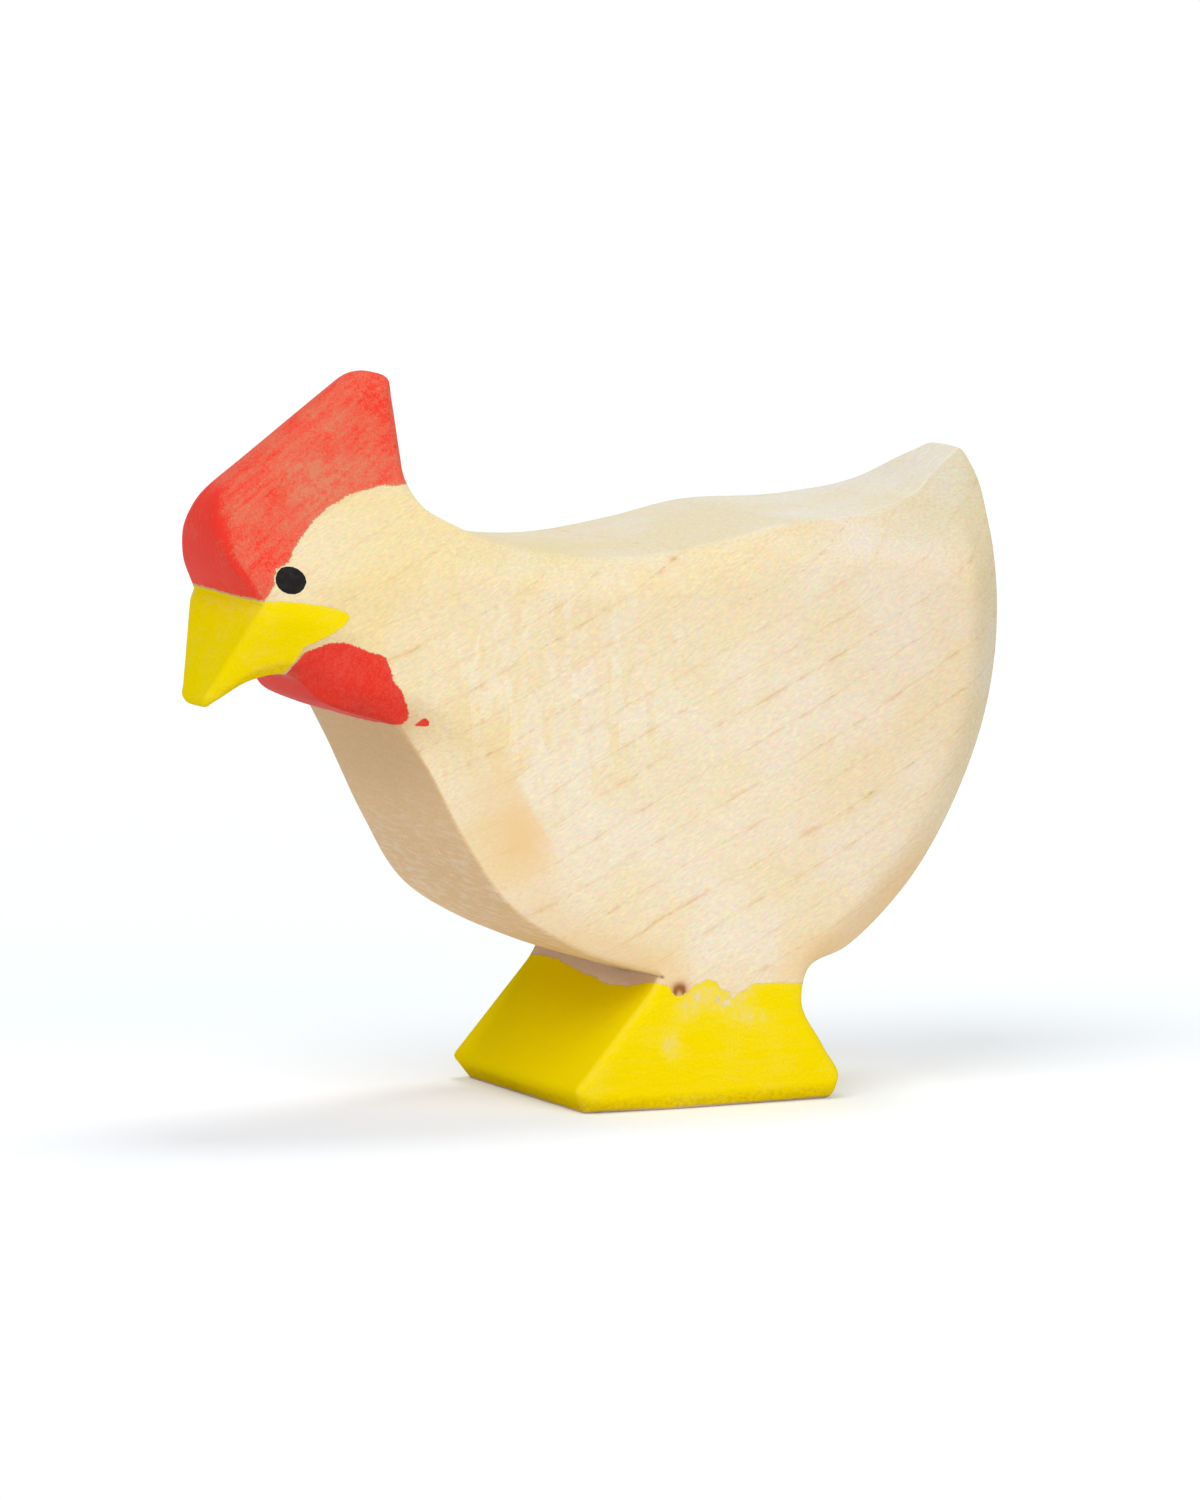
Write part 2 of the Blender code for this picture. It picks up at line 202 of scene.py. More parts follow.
# The front fades out towards this x, and the border above this z is the upper one
FRONT_END = 2.0
FRONT_BLEND = 0.6
FOOT_MIDDLE = 5.0
EYE_CENTRE = (-28.6, 44.0)
EYE_SIZE = (1.2, 1.1)
# How far a dab stands out of the wood, in thicknesses of a coat
EYE_BUILD_UP = 1.2
# Unevenness of the borders and of the eyes: its size, its depth and its seed
BORDER_WOBBLES = ((1.1, 0.16, 1), (0.45, 0.08, 2))
EYE_WOBBLE = (0.6, 0.09, 3)

# The paints' numbers on the surface's faces, in the order in which one goes over another
BARE, LEFT_EYE, RIGHT_EYE, COMB, BEAK, WATTLE, FOOT = range(7)

# Soft spots seen from the side, each with its place, its size and its share
BARRED_SPOT = (((-7.5, 34.5), (9.0, 8.0), 1.6),)
STAIN_SPOTS = (((-12.0, 25.5), (4.0, 4.5), 0.5), ((-9.6, 22.0), (2.6, 3.2), 0.7))
RUBBED_SPOT = (((1.4, 10.2), (0.9, 0.8), 0.5),)
CREASE_SPOT = (((2.0, 10.85), (0.16, 0.12), 1.0),)
KNOT_HALO_SPOT = (((3.4, 9.8), (0.9, 0.7), 0.8),)
KNOT_SPOTS = (
    ((3.05, 9.6), (0.2, 0.4), 1.0), ((3.8, 9.6), (0.22, 0.45), 1.0),
    ((3.42, 9.98), (0.42, 0.36), 1.0),
)
# Thin places of the paints, and painted highlights.  The comb's last one is thicker.
COMB_SPOTS = (
    ((-25.4, 51.5), (3.6, 1.7), 0.6), ((-20.5, 54.5), (2.5, 2.0), 0.15),
    ((-19.5, 58.5), (3.0, 2.5), -0.3),
)
# Painted highlight: paler paint at the left end of the wattle's underside
WATTLE_HIGHLIGHT_SPOTS = (((-27.6, 35.7), (0.5, 0.5), 1.0),)
# Painted highlight: paler paint along the top of the beak's front
BEAK_HIGHLIGHT_SPOTS = (((-30.8, 41.6), (2.0, 0.6), 0.22),)
FOOT_SPOTS = (
    ((2.6, 5.3), (0.7, 0.9), 1.1), ((5.4, 9.3), (1.0, 0.7), 1.1), ((7.6, 8.6), (1.8, 0.8), 1.2),
    ((8.6, 9.5), (1.2, 0.6), 1.3), ((9.6, 7.2), (1.6, 0.6), 0.8), ((4.2, 8.2), (0.8, 0.8), 0.9),
)
EVERYWHERE = None
ON_THE_FRONT = (-1.0, 0.0, 0.0)
ON_THE_UNDERSIDE = (0.0, 0.0, -1.0)

# Each coat of paint: its CAD node, slot and number, its finish, the settings of its colours,
# its gloss, its brushing, and where its thin spots and painted highlights are
COATS = {
    "comb_paint": (
        "comb_coat", "comb_paint", COMB, "brushed_comb_red", "comb_deep", "comb_thin", 0.05,
        {"Stroke tilt": math.radians(38.0), "Load": 0.58, "Front shade": 0.5, "Unevenness": 1.0,
         "Raggedness": 0.45},
        EVERYWHERE, COMB_SPOTS),
    "wattle_paint": (
        "wattle_coat", "wattle_paint", WATTLE, "brushed_wattle_red", "wattle_deep", "wattle_thin",
        0.05,
        {"Stroke tilt": math.radians(60.0), "Load": 0.9, "Front shade": 0.1, "Unevenness": 0.4,
         "Raggedness": 0.3},
        ON_THE_UNDERSIDE, WATTLE_HIGHLIGHT_SPOTS),
    "beak_paint": (
        "beak_coat", "yellow_paint", BEAK, "brushed_yellow_beak", "yellow_deep", "yellow_thin", 0.0,
        {"Stroke tilt": math.radians(20.0), "Load": 1.0, "Unevenness": 0.45, "Raggedness": 0.2},
        ON_THE_FRONT, BEAK_HIGHLIGHT_SPOTS),
    "foot_paint": (
        "foot_coat", "yellow_paint", FOOT, "brushed_yellow_foot", "yellow_deep", "yellow_thin", 0.0,
        {"Stroke tilt": math.radians(3.0), "Load": 1.0, "Front shade": 0.2, "Unevenness": 0.4,
         "Raggedness": 0.5, "Wear": 0.1},
        EVERYWHERE, FOOT_SPOTS),
}

# Each lamp: its name, its setting, the direction that it stands in, its width in degrees and
# its colour
LAMPS = (
    ("key_light", "key_share", (-0.5, -0.34, 0.8), 40.0, (1.0, 1.0, 0.99)),
    ("back_light", "back_share", (0.3, 0.25, 0.92), 24.0, (1.0, 0.995, 0.98)),
    ("front_light", "front_share", (0.1, -0.97, 0.22), 60.0, (1.0, 0.99, 0.965)),
)
SKY_COLOUR = (0.9, 0.98, 1.08)
WHITE = (1.0, 1.0, 1.0)
LIFT_COLOUR = (0.88, 1.0, 1.1)
FLOOR_HALF = 6.0
CAMERA_TARGET = (0.00205, 0.0, 0.02795)
CAMERA_AZIMUTH = math.radians(-24.7)
CAMERA_ELEVATION = math.radians(7.0)
CAMERA_DISTANCE = 1.3
CAMERA_LENS = 384.4


def srgb(red, green, blue):
    """Return the linear colour of a colour as it is seen, from 0 to 255."""
    def linear(level):
        share = level / 255.0
        return share / 12.92 if share <= 0.04045 else ((share + 0.055) / 1.055) ** 2.4
    return (linear(red), linear(green), linear(blue))


def colour_property(name, description, seen):
    """Make a colour setting from a colour as it is seen."""
    return bpy.props.FloatVectorProperty(
        name=name, description=description, subtype="COLOR", size=3, min=0.0, max=1.0,
        default=srgb(*seen),
    )


def length_property(name, description, default):
    """Make a length setting, in metres."""
    return bpy.props.FloatProperty(
        name=name, description=description, default=default, min=0.0, unit="LENGTH", precision=5,
    )


def share_property(name, description, default):
    """Make a light setting, where 1 alone shows white as white."""
    return bpy.props.FloatProperty(name=name, description=description, default=default, min=0.0)


class HenBlockSettings(bpy.types.PropertyGroup):
    """Sizes of the carved block."""
    board_half: length_property("Half board", "Half the thickness of the board", 0.0124)
    outline_step: length_property("Outline step", "Spacing of the points along the outline", 0.0004)
    grid_step: length_property("Grid step", "Spacing of the points on the two sides", 0.00048)
    hand_wave: length_property("Hand wave", "Depth of the unevenness left by hand sanding", 0.00009)
    wave_size: length_property("Wave size", "Size of one hollow of that unevenness", 0.006)
    crown: bpy.props.FloatProperty(
        name="Crown", description="Bulge of the sawn edge, as a share of half its thickness",
        default=0.033, min=0.0, max=0.2)
    easing_power: bpy.props.FloatProperty(
        name="Easing power", description="Fullness of the eased edge, where 1 is a flat bevel",
        default=1.7, min=1.0, max=4.0)


class HenWoodSettings(bpy.types.PropertyGroup):
    """Colours and figure of the maple."""
    pale: colour_property("Pale wood", "Colour of the whitish patches", (249, 232, 204))
    warm: colour_property("Warm wood", "Colour of the yellowish patches", (246, 221, 165))
    ring: colour_property("Growth ring", "Colour of the thin line at each ring", (230, 182, 116))
    speck: colour_property("Speck", "Colour of the small dark specks on the rings", (198, 138, 74))
    end_grain: colour_property("End grain", "Colour where a cut crosses the fibres", (240, 201, 149))
    stain: colour_property("Stain", "Colour of the tan stain along the chest", (246, 206, 146))
    ring_spacing: length_property("Ring spacing", "Distance between growth rings", 0.0027)
    grain_tilt: bpy.props.FloatProperty(
        name="Grain tilt", description="Angle of the fibres above the level, seen from the side",
        default=math.radians(27.5), subtype="ANGLE")


class HenPaintSettings(bpy.types.PropertyGroup):
    """Colours and thickness of the paint."""
    comb_deep: colour_property("Comb, deep", "Comb paint where it is thick", (250, 62, 48))
    comb_thin: colour_property("Comb, thin", "Comb paint where it is brushed out", (230, 142, 114))
    wattle_deep: colour_property("Wattle, deep", "Wattle paint where it is thick", (238, 56, 40))
    wattle_thin: colour_property("Wattle, thin", "Wattle paint where it is thin", (240, 130, 118))
    yellow_deep: colour_property("Yellow, deep", "Yellow paint where it is thick", (255, 226, 3))
    yellow_thin: colour_property("Yellow, thin", "Yellow paint where it is thin", (250, 232, 135))
    black: colour_property("Black", "Paint of the eyes", (24, 22, 21))
    depth: length_property("Paint depth", "Thickness of a coat of paint", 0.00005)


class HenStageSettings(bpy.types.PropertyGroup):
    """Light and ground."""
    key_share: share_property("Key light", "Light of the lamp above the head", 0.36)
    back_share: share_property("Back light", "Light of the lamp above and behind the tail", 0.27)
    front_share: share_property("Front light", "Light of the low, wide lamp in front", 0.38)
    sky_share: share_property("Sky light", "Even light from all round", 0.3)
    floor_lift: share_property("Floor lift", "Light that the floor adds for the eye alone", 0.21)
    ground: colour_property("Ground", "Colour of the floor", (244, 244, 244))


class Value:
    """A value in a node tree, which adds and multiplies as a number does."""

    def __init__(self, recipe, socket):
        self.recipe = recipe
        self.socket = socket

    def __add__(self, other):
        return self.recipe.math("ADD", self, other)

    def __sub__(self, other):
        return self.recipe.math("SUBTRACT", self, other)

    def __rsub__(self, other):
        return self.recipe.math("SUBTRACT", other, self)

    def __mul__(self, other):
        return self.recipe.math("MULTIPLY", self, other)

    def __truediv__(self, other):
        return self.recipe.math("DIVIDE", self, other)

    def __rtruediv__(self, other):
        return self.recipe.math("DIVIDE", other, self)

    def __abs__(self):
        return self.recipe.math("ABSOLUTE", self)


class Recipe:
    """Adds nodes to a tree and joins them, so that a rule reads like a sum."""

    def __init__(self, tree):
        self.tree = tree

    def add(self, kind, inputs=None, **settings):
        """Add one node, set its settings and feed its inputs."""
        node = self.tree.nodes.new(kind)
        for name, value in settings.items():
            setattr(node, name, value)
        for name, value in (inputs or {}).items():
            self.feed(node.inputs[name], value)
        return node

    def feed(self, socket, value):
        """Link a socket, or set its value."""
        if isinstance(value, Value):
            self.tree.links.new(value.socket, socket)
        elif socket.type == "RGBA":
            socket.default_value = (*value[:3], 1.0)
        else:
            socket.default_value = value

    def make(self, kind, inputs=None, output=0, **settings):
        """Add one node, and return one of its outputs."""
        return Value(self, self.add(kind, inputs, **settings).outputs[output])

    def outputs(self, node):
        """Return a node's outputs by name."""
        return {socket.name: Value(self, socket) for socket in node.outputs}

    def math(self, operation, *values):
        """Return the result of a Math node."""
        return self.make("ShaderNodeMath", dict(enumerate(values)), operation=operation)

    def linear(self, value, factor, offset):
        """Return a value times a factor, plus an offset."""
        return self.math("MULTIPLY_ADD", value, factor, offset)

    def capped(self, value):
        """Return a value, or one where it is more."""
        return self.math("MINIMUM", value, 1.0)

    def clamped(self, value):
        """Return a value kept between nothing and one."""
        return self.make("ShaderNodeClamp", {"Value": value})

    def vector(self, operation, *values):
        """Return the vector that a Vector Math node makes."""
        inputs = dict(enumerate(values))
        return self.make("ShaderNodeVectorMath", inputs, "Vector", operation=operation)

    def scaled(self, vector, factor):
        """Return a vector times a number."""
        inputs = {0: vector, "Scale": factor}
        return self.make("ShaderNodeVectorMath", inputs, "Vector", operation="SCALE")

    def combine(self, x, y, z):
        """Return a vector of three values."""
        return self.make("ShaderNodeCombineXYZ", {0: x, 1: y, 2: z})

    def separate(self, vector):
        """Return the three values of a vector."""
        node = self.add("ShaderNodeSeparateXYZ", {0: vector})
        return tuple(Value(self, socket) for socket in node.outputs)

    def fade(self, value, low, high, to_low=0.0, to_high=1.0):
        """Return a smooth step of a value between two limits."""
        inputs = {
            "Value": value, "From Min": low, "From Max": high, "To Min": to_low, "To Max": to_high}
        return self.make("ShaderNodeMapRange", inputs, "Result", interpolation_type="SMOOTHSTEP")

    def mix(self, factor, first, second, blend="MIX"):
        """Return a mix of two colours."""
        node = self.add("ShaderNodeMix", data_type="RGBA", blend_type=blend)
        colours = [socket for socket in node.inputs if socket.type == "RGBA"]
        for socket, value in zip((node.inputs[0], *colours), (factor, first, second)):
            self.feed(socket, value)
        return Value(self, next(socket for socket in node.outputs if socket.type == "RGBA"))

    def noise(self, vector, detail=2.0, roughness=0.5):
        """Return a noise of about one hump for each unit of the vector."""
        inputs = {"Vector": vector, "Scale": 1.0, "Detail": detail, "Roughness": roughness}
        return self.make("ShaderNodeTexNoise", inputs)

    def stretched(self, axes, humps):
        """Return a vector with its own number of humps per millimetre along each axis."""
        return self.combine(*(axis * number for axis, number in zip(axes, humps)))

    def grain(self, axes, humps, detail=2.0, roughness=0.5):
        """Return a noise with its own number of humps per millimetre along each axis."""
        return self.noise(self.stretched(axes, humps), detail, roughness)

    def spot(self, x, z, place, size):
        """Return a soft mask round a place seen from the side, in millimetres."""
        dx = (x - place[0]) * (1.0 / size[0])
        dz = (z - place[1]) * (1.0 / size[1])
        return self.math("POWER", math.e, (dx * dx + dz * dz) * -1.0)

    def spots(self, x, z, rows):
        """Return the sum of soft spots, from rows of a place, a size and a share."""
        masks = [self.spot(x, z, place, size) * share for place, size, share in rows]
        return sum(masks[1:], masks[0])

    def object_place(self):
        """Return the place on the object in a material, in millimetres."""
        return self.scaled(self.make("ShaderNodeTexCoord", output="Object"), 1.0 / MM)

    def attribute(self, name):
        """Return a mesh's stored attribute in a material."""
        return self.make("ShaderNodeAttribute", output="Fac", attribute_name=name)

    def facing(self):
        """Return the direction in which the surface looks, in a material."""
        return self.make("ShaderNodeNewGeometry", output="Normal")

    def stored(self, name, kind="FLOAT"):
        """Return a mesh's stored attribute in a Geometry Nodes tree."""
        node = self.add("GeometryNodeInputNamedAttribute", {"Name": name}, data_type=kind)
        return Value(self, next(
            socket for socket in node.outputs if socket.enabled and socket.name == "Attribute"))

    def moved(self, geometry, offset):
        """Return a geometry whose points are moved by an offset."""
        return self.make("GeometryNodeSetPosition", {"Geometry": geometry, "Offset": offset})

    def finish(self, geometry, material, socket):
        """End a tree: instances made real, the material set and the geometry put out."""
        whole = self.make("GeometryNodeRealizeInstances", {"Geometry": geometry})
        inputs = {"Geometry": whole, "Material": material}
        self.feed(socket, self.make("GeometryNodeSetMaterial", inputs))


def open_group(name, kind, inputs, outputs):
    """Start a node group with named sockets; return it, its recipe, its inputs and its output."""
    tree = bpy.data.node_groups.new(name, kind)
    for socket, socket_type in inputs:
        tree.interface.new_socket(socket, in_out="INPUT", socket_type="NodeSocket" + socket_type)
    for socket, socket_type in outputs:
        tree.interface.new_socket(socket, in_out="OUTPUT", socket_type="NodeSocket" + socket_type)
    recipe = Recipe(tree)
    given = recipe.outputs(recipe.add("NodeGroupInput"))
    result = recipe.add("NodeGroupOutput").inputs
    return tree, recipe, given, result


# Sawing: the outline, the plan of the sides and the blank

def sample_outline(step):
    """Return x, z, edge, easing and rounding at points along a curve through the stations."""
    values = np.array([station[:5] for station in STATIONS])
    kinds = [station[5] for station in STATIONS]
    straight = [kind in (STRAIGHT, CORNER_STRAIGHT) for kind in kinds]
    corner = [kind in (CORNER, CORNER_STRAIGHT) for kind in kinds]
    run = np.roll(values, -1, axis=0) - values
    length = np.linalg.norm(run[:, :2], axis=1)
    slope = run / length[:, None]

    def tangent(i, leaving):
        before = (i - 1) % len(values)
        if corner[i]:
            return slope[i] if leaving else slope[before]
        if straight[i]:
            return slope[i]
        if straight[before]:
            return slope[before]
        both = length[i] + length[before]
        return (length[i] * slope[before] + length[before] * slope[i]) / both

    pieces = []
    for i, start in enumerate(values):
        count = max(4, round(length[i] / step))
        t = (np.arange(count) / count)[:, None]
        if straight[i]:
            pieces.append(start + t * run[i])
            continue
        after = (i + 1) % len(values)
        leave = tangent(i, True) * length[i]
        arrive = tangent(after, False) * length[i]
        pieces.append(
            (2 * t**3 - 3 * t**2 + 1) * start + (t**3 - 2 * t**2 + t) * leave
            + (3 * t**2 - 2 * t**3) * values[after] + (t**3 - t**2) * arrive
        )
    rim = np.vstack(pieces)
    rim[:, 4] = np.minimum(rim[:, 4], ROUNDING_LIMIT * rim[:, 2])
    return rim


def inward_normals(closed):
    """Return the inward unit normals at the corners of a closed anticlockwise outline."""
    run = np.roll(closed, -1, axis=0) - closed
    run /= np.linalg.norm(run, axis=1)[:, None]
    along = run + np.roll(run, 1, axis=0)
    along /= np.linalg.norm(along, axis=1)[:, None]
    return np.column_stack((-along[:, 1], along[:, 0]))


def near_outline(points, outline):
    """Return each point's distance to a closed outline, and the outline's values close by."""
    run = np.roll(outline, -1, axis=0) - outline
    square = np.sum(run[:, :2] ** 2, axis=1)
    away = np.empty(len(points))
    values = np.empty((len(points), outline.shape[1] - 2))
    for first in range(0, len(points), BATCH):
        part = slice(first, first + BATCH)
        offset = points[part, None, :] - outline[:, :2]
        share = np.clip(np.sum(offset * run[:, :2], axis=2) / square, 0.0, 1.0)
        gap = np.linalg.norm(offset - share[..., None] * run[:, :2], axis=2)
        weight = (gap + BLEND_GAP) ** BLEND_POWER
        weight /= weight.sum(axis=1)[:, None]
        away[part] = gap.min(axis=1)
        values[part] = weight @ outline[:, 2:] + (weight * share) @ run[:, 2:]
    return away, values


def inside(points, closed):
    """Tell for each point whether it lies inside a closed polygon."""
    x, z = points.T
    crossed = np.zeros(len(points), bool)
    for (x0, z0), (x1, z1) in zip(closed, np.roll(closed, -1, axis=0)):
        if z0 != z1:
            spans = (z0 > z) != (z1 > z)
            crossed ^= spans & (x < x0 + (z - z0) * (x1 - x0) / (z1 - z0))
    return crossed


def plan_points(rim, grid_step):
    """Return the points of a side seen flat: the outline, rings inside it and a grid."""
    closed = rim[:, :2]
    inward = inward_normals(closed)
    rounding = rim[:, 4]
    rings = [closed]
    sources = [np.arange(len(rim))]
    depths = [rounding * step / ARRIS_STEPS for step in range(1, ARRIS_STEPS + 1)]
    for depth in depths + [rounding + further for further in RING_DEPTHS]:
        # A point is left out where a little further in lies closer to another side
        reach = depth + RIDGE_GAP
        clear = near_outline(closed + reach[:, None] * inward, rim)[0] > RIDGE_SHARE * reach
        rings.append((closed + depth[:, None] * inward)[clear])
        sources.append(np.flatnonzero(clear))
    low = closed.min(axis=0)
    high = closed.max(axis=0)
    rows = []
    for count, z in enumerate(np.arange(low[1], high[1], grid_step * ROW_HEIGHT)):
        x = np.arange(low[0], high[0], grid_step) + (count % 2) * grid_step / 2
        rows.append(np.column_stack((x, np.full(len(x), z))))
    grid = np.vstack(rows)
    grid = grid[inside(grid, closed)]
    away, values = near_outline(grid, rim)
    rings.append(grid[away > values[:, 2] + GRID_DEPTH])
    sources.append(np.zeros(len(rings[-1]), int))
    return np.vstack(rings), inward[np.concatenate(sources)]


def put_attribute(mesh, name, values, domain="POINT"):
    """Store numbers, or vectors, on a mesh under a name."""
    values = np.asarray(values, float)
    kind, field = ("FLOAT_VECTOR", "vector") if values.ndim == 2 else ("FLOAT", "value")
    mesh.attributes.new(name, kind, domain).data.foreach_set(field, values.ravel())


def saw_blank(settings):
    """Make the sawn blank: a closed mesh whose points know their place on the board."""
    rim = sample_outline(settings.outline_step / MM)
    count = len(rim)
    points, inward = plan_points(rim, settings.grid_step / MM)
    edges = [(i, (i + 1) % count) for i in range(count)]
    plan = delaunay_2d_cdt([Vector(point) for point in points], edges, [], 0, 1e-7)
    triangles = np.array(plan[2])
    triangles = triangles[inside(points[triangles].mean(axis=1), rim[:, :2])]
    away, values = near_outline(points, rim)
    away[:count] = 0.0
    side = np.column_stack((points, away, values, inward))

    # Places across the sawn edge, closer together by the two arrises
    rounding_share = rim[:, 4] / rim[:, 2]
    left_rows = [rounding_share * step / ARRIS_STEPS - 1.0 for step in range(1, ARRIS_STEPS + 1)]
    middle_rows = [left_rows[-1] * (1.0 - 2.0 * step / EDGE_ROWS) for step in range(1, EDGE_ROWS)]
    rows = left_rows + middle_rows + [-row for row in reversed(left_rows)]
    table = np.vstack(
        [np.column_stack((side, np.full(len(side), across))) for across in (-1.0, 1.0)]
        + [np.column_stack((side[:count], row)) for row in rows]
    )

    right = len(side)
    columns = [np.arange(count)]
    columns += [2 * right + step * count + np.arange(count) for step in range(len(rows))]
    columns.append(right + np.arange(count))
    faces = [triangles, triangles[:, ::-1] + right]
    for near, far in zip(columns, columns[1:]):
        faces.append(np.column_stack((near, far, np.roll(far, -1))))
        faces.append(np.column_stack((near, np.roll(far, -1), np.roll(near, -1))))

    x, z, away, edge, easing, rounding, inward_x, inward_z, across = table.T
    mesh = bpy.data.meshes.new("hen_blank")
    place = np.column_stack((x * MM, across * settings.board_half, z * MM))
    mesh.from_pydata(place.tolist(), [], np.vstack(faces).tolist())
    for name, column in (("away", away), ("edge", edge), ("easing", easing),
                         ("rounding", rounding), ("across", across)):
        put_attribute(mesh, name, column)
    put_attribute(mesh, "inward", np.column_stack((inward_x, np.zeros(len(x)), inward_z)))
    return mesh


# Carving: the rule that turns the blank into the hen

def half_face(recipe, x, z, board_half):
    """Return half the thickness of the flat sides, with the tapers of the head and the tail."""
    # The head thins towards the beak, and above the eye towards the comb
    head = (x - HEAD_PLACE) * HEAD_SLOPE + HEAD_HALF
    above_eye = recipe.math("SMOOTH_MAX", z - ABOVE_EYE, 0.0, EYE_BLEND)
    towards_comb = above_eye * ABOVE_EYE_SLOPE + head
    # The comb thins upwards and forwards
    ahead = recipe.math("MINIMUM", x - COMB_REAR, 0.0)
    comb = (z - COMB_TOP) * COMB_SLOPE + COMB_HALF + ahead * COMB_REAR_SLOPE
    comb = recipe.math("MINIMUM", comb, head)
    upper = recipe.math("SMOOTH_MAX", towards_comb, comb, COMB_BLEND)
    # Below the eye the head thins again, more so towards the beak's tip
    start, full = BEAK_TAPER
    forward = recipe.clamped((x - start) / (full - start))
    below = recipe.math("SMOOTH_MAX", BELOW_EYE - z, 0.0, EYE_BLEND)
    lower = forward * below * BELOW_EYE_SLOPE + upper
    lower = recipe.math("SMOOTH_MAX", lower, THINNEST_HALF, BEAK_BLEND)
    # The tail thins upwards and backwards, and everything blends into the board
    (tail_x, tail_z), (along, up) = TAIL_PLACE, TAIL_SLOPES
    tail = (x - tail_x) * along + (z - tail_z) * up + TAIL_HALF
    board = recipe.math("SMOOTH_MIN", tail, board_half, BOARD_BLEND)
    return recipe.math("SMOOTH_MIN", lower, board, BOARD_BLEND)


def carving_tree():
    """Build the tree that carves the blank: tapers, eased edges, round arrises, sanding."""
    tree, recipe, given, result = open_group(
        "Carve the hen", "GeometryNodeTree",
        (("Blank", "Geometry"), ("Half board", "Float"), ("Easing power", "Float"),
         ("Crown", "Float"), ("Hand wave", "Float"), ("Wave size", "Float"), ("Wood", "Material")),
        (("Hen", "Geometry"),),
    )
    away, edge, easing, rounding, across = (
        recipe.stored(name) for name in ("away", "edge", "easing", "rounding", "across"))
    inward = recipe.stored("inward", "FLOAT_VECTOR")
    place = recipe.make("GeometryNodeInputPosition")
    x, _, z = recipe.separate(recipe.scaled(place, 1.0 / MM))

    # A quarter round takes the arris off.  It starts one radius in from either face.
    down = (1.0 - abs(across)) * edge
    on_side = recipe.capped(away / rounding)
    on_edge = recipe.capped(down / rounding)
    turn = recipe.linear(on_side - on_edge, math.pi / 4, math.pi / 4)
    inset = recipe.math("MAXIMUM", rounding * (1.0 - recipe.math("COSINE", turn)), away)
    depth = recipe.math("MAXIMUM", rounding * (1.0 - recipe.math("SINE", turn)), down)

    # The sides ease down to the sawn edge
    face = recipe.math("MAXIMUM", half_face(recipe, x, z, given["Half board"] / MM), edge)
    left = 1.0 - recipe.capped(inset / easing)
    eased = 1.0 - recipe.math("POWER", left, given["Easing power"])
    half = recipe.linear(face - edge, eased, edge)
    y = recipe.math("SIGN", across) * (half - depth)

    # The sawn edge is slightly crowned, but for the sole
    crown = given["Crown"] * edge * (1.0 - across * across) * recipe.fade(z, 0.05, 2.0)
    shift = inset - away - crown
    plan = recipe.vector("ADD", recipe.combine(x, y, z), recipe.scaled(inward, shift))
    carved = recipe.make(
        "GeometryNodeSetPosition", {"Geometry": given["Blank"], "Position": recipe.scaled(plan, MM)})

    # Sanding by hand leaves shallow hollows, never on the sole
    hollow = recipe.noise(recipe.scaled(place, 1.0 / given["Wave size"]))
    sanding = hollow * recipe.fade(z, 0.1, 1.5) * (given["Hand wave"] * -1.0)
    normal = recipe.make("GeometryNodeInputNormal")
    sanded = recipe.moved(carved, recipe.scaled(normal, sanding))

    inputs = {"Geometry": sanded, "Name": "arris", "Value": recipe.math("MAXIMUM", away, down)}
    measured = recipe.make(
        "GeometryNodeStoreNamedAttribute", inputs, data_type="FLOAT", domain="POINT")
    recipe.finish(measured, given["Wood"], result["Hen"])
    return tree


def run_tree(mesh, tree, values):
    """Run a mesh through a Geometry Nodes tree, and return the result as a plain mesh."""
    carrier = bpy.data.objects.new("carrier", mesh)
    bpy.context.scene.collection.objects.link(carrier)
    step = carrier.modifiers.new("tree", "NODES")
    step.node_group = tree
    for item in tree.interface.items_tree:
        if item.in_out == "INPUT" and item.name in values:
            step[item.identifier] = values[item.name]
    graph = bpy.context.evaluated_depsgraph_get()
    shaped = bpy.data.meshes.new_from_object(
        carrier.evaluated_get(graph), preserve_all_data_layers=True, depsgraph=graph)
    bpy.data.objects.remove(carrier)
    return shaped


# Painting: where each paint lies on the carved surface

def border_field(points, border):
    """Return how far each point lies inside a border, less than nothing outside it."""
    closed = np.array(border)
    away = near_outline(points, np.column_stack((closed, np.zeros(len(closed)))))[0]
    return np.where(inside(points, closed), away, -away)


def brush_wobble(rows, size, depth, seed):
    """Return the small in-and-out of a brushed border at each row's place."""
    offset = Vector((seed * 7.3, seed * 3.1, seed * 5.7))
    return depth * np.array([noise.noise(Vector(row) / size + offset) for row in rows])


def paint_fields(rows):
    """Return for each place how far it lies inside each paint's border, a column for each."""
    places = rows[:, :3]
    x, y, z = places.T
    plan = places[:, (0, 2)]
    wobble = sum(brush_wobble(places, *row) for row in BORDER_WOBBLES)
    dab = brush_wobble(places, *EYE_WOBBLE)
    (middle_x, middle_z), (half_x, half_z) = EYE_CENTRE, EYE_SIZE
    eye = (1.0 - np.hypot((x - middle_x) / half_x, (z - middle_z) / half_z)) * half_z + dab
    front = np.clip((FRONT_END - x) / FRONT_BLEND, 0.0, 1.0)
    rise = front * np.interp(y, FRONT_BRUSH_Y, FRONT_BRUSH_RISE)
    upper = z > FOOT_MIDDLE
    foot = border_field(np.column_stack((x, np.where(upper, z - rise, z))), FOOT_BORDER)
    # The splash is small, so its value is raised to be found between the mesh's points
    splash = np.where(y < 0.0, 2.5 * border_field(plan, SPLASH_BORDER), FAR_OUTSIDE)
    return np.column_stack((
        np.where(y < 0.0, eye, FAR_OUTSIDE),
        np.where(y > 0.0, eye, FAR_OUTSIDE),
        border_field(plan, COMB_BORDER) + wobble,
        border_field(plan, BEAK_BORDER) + wobble,
        np.maximum(border_field(plan, WATTLE_BORDER) + wobble, splash),
        foot + np.where(upper, wobble, 0.4 * wobble),
    ))


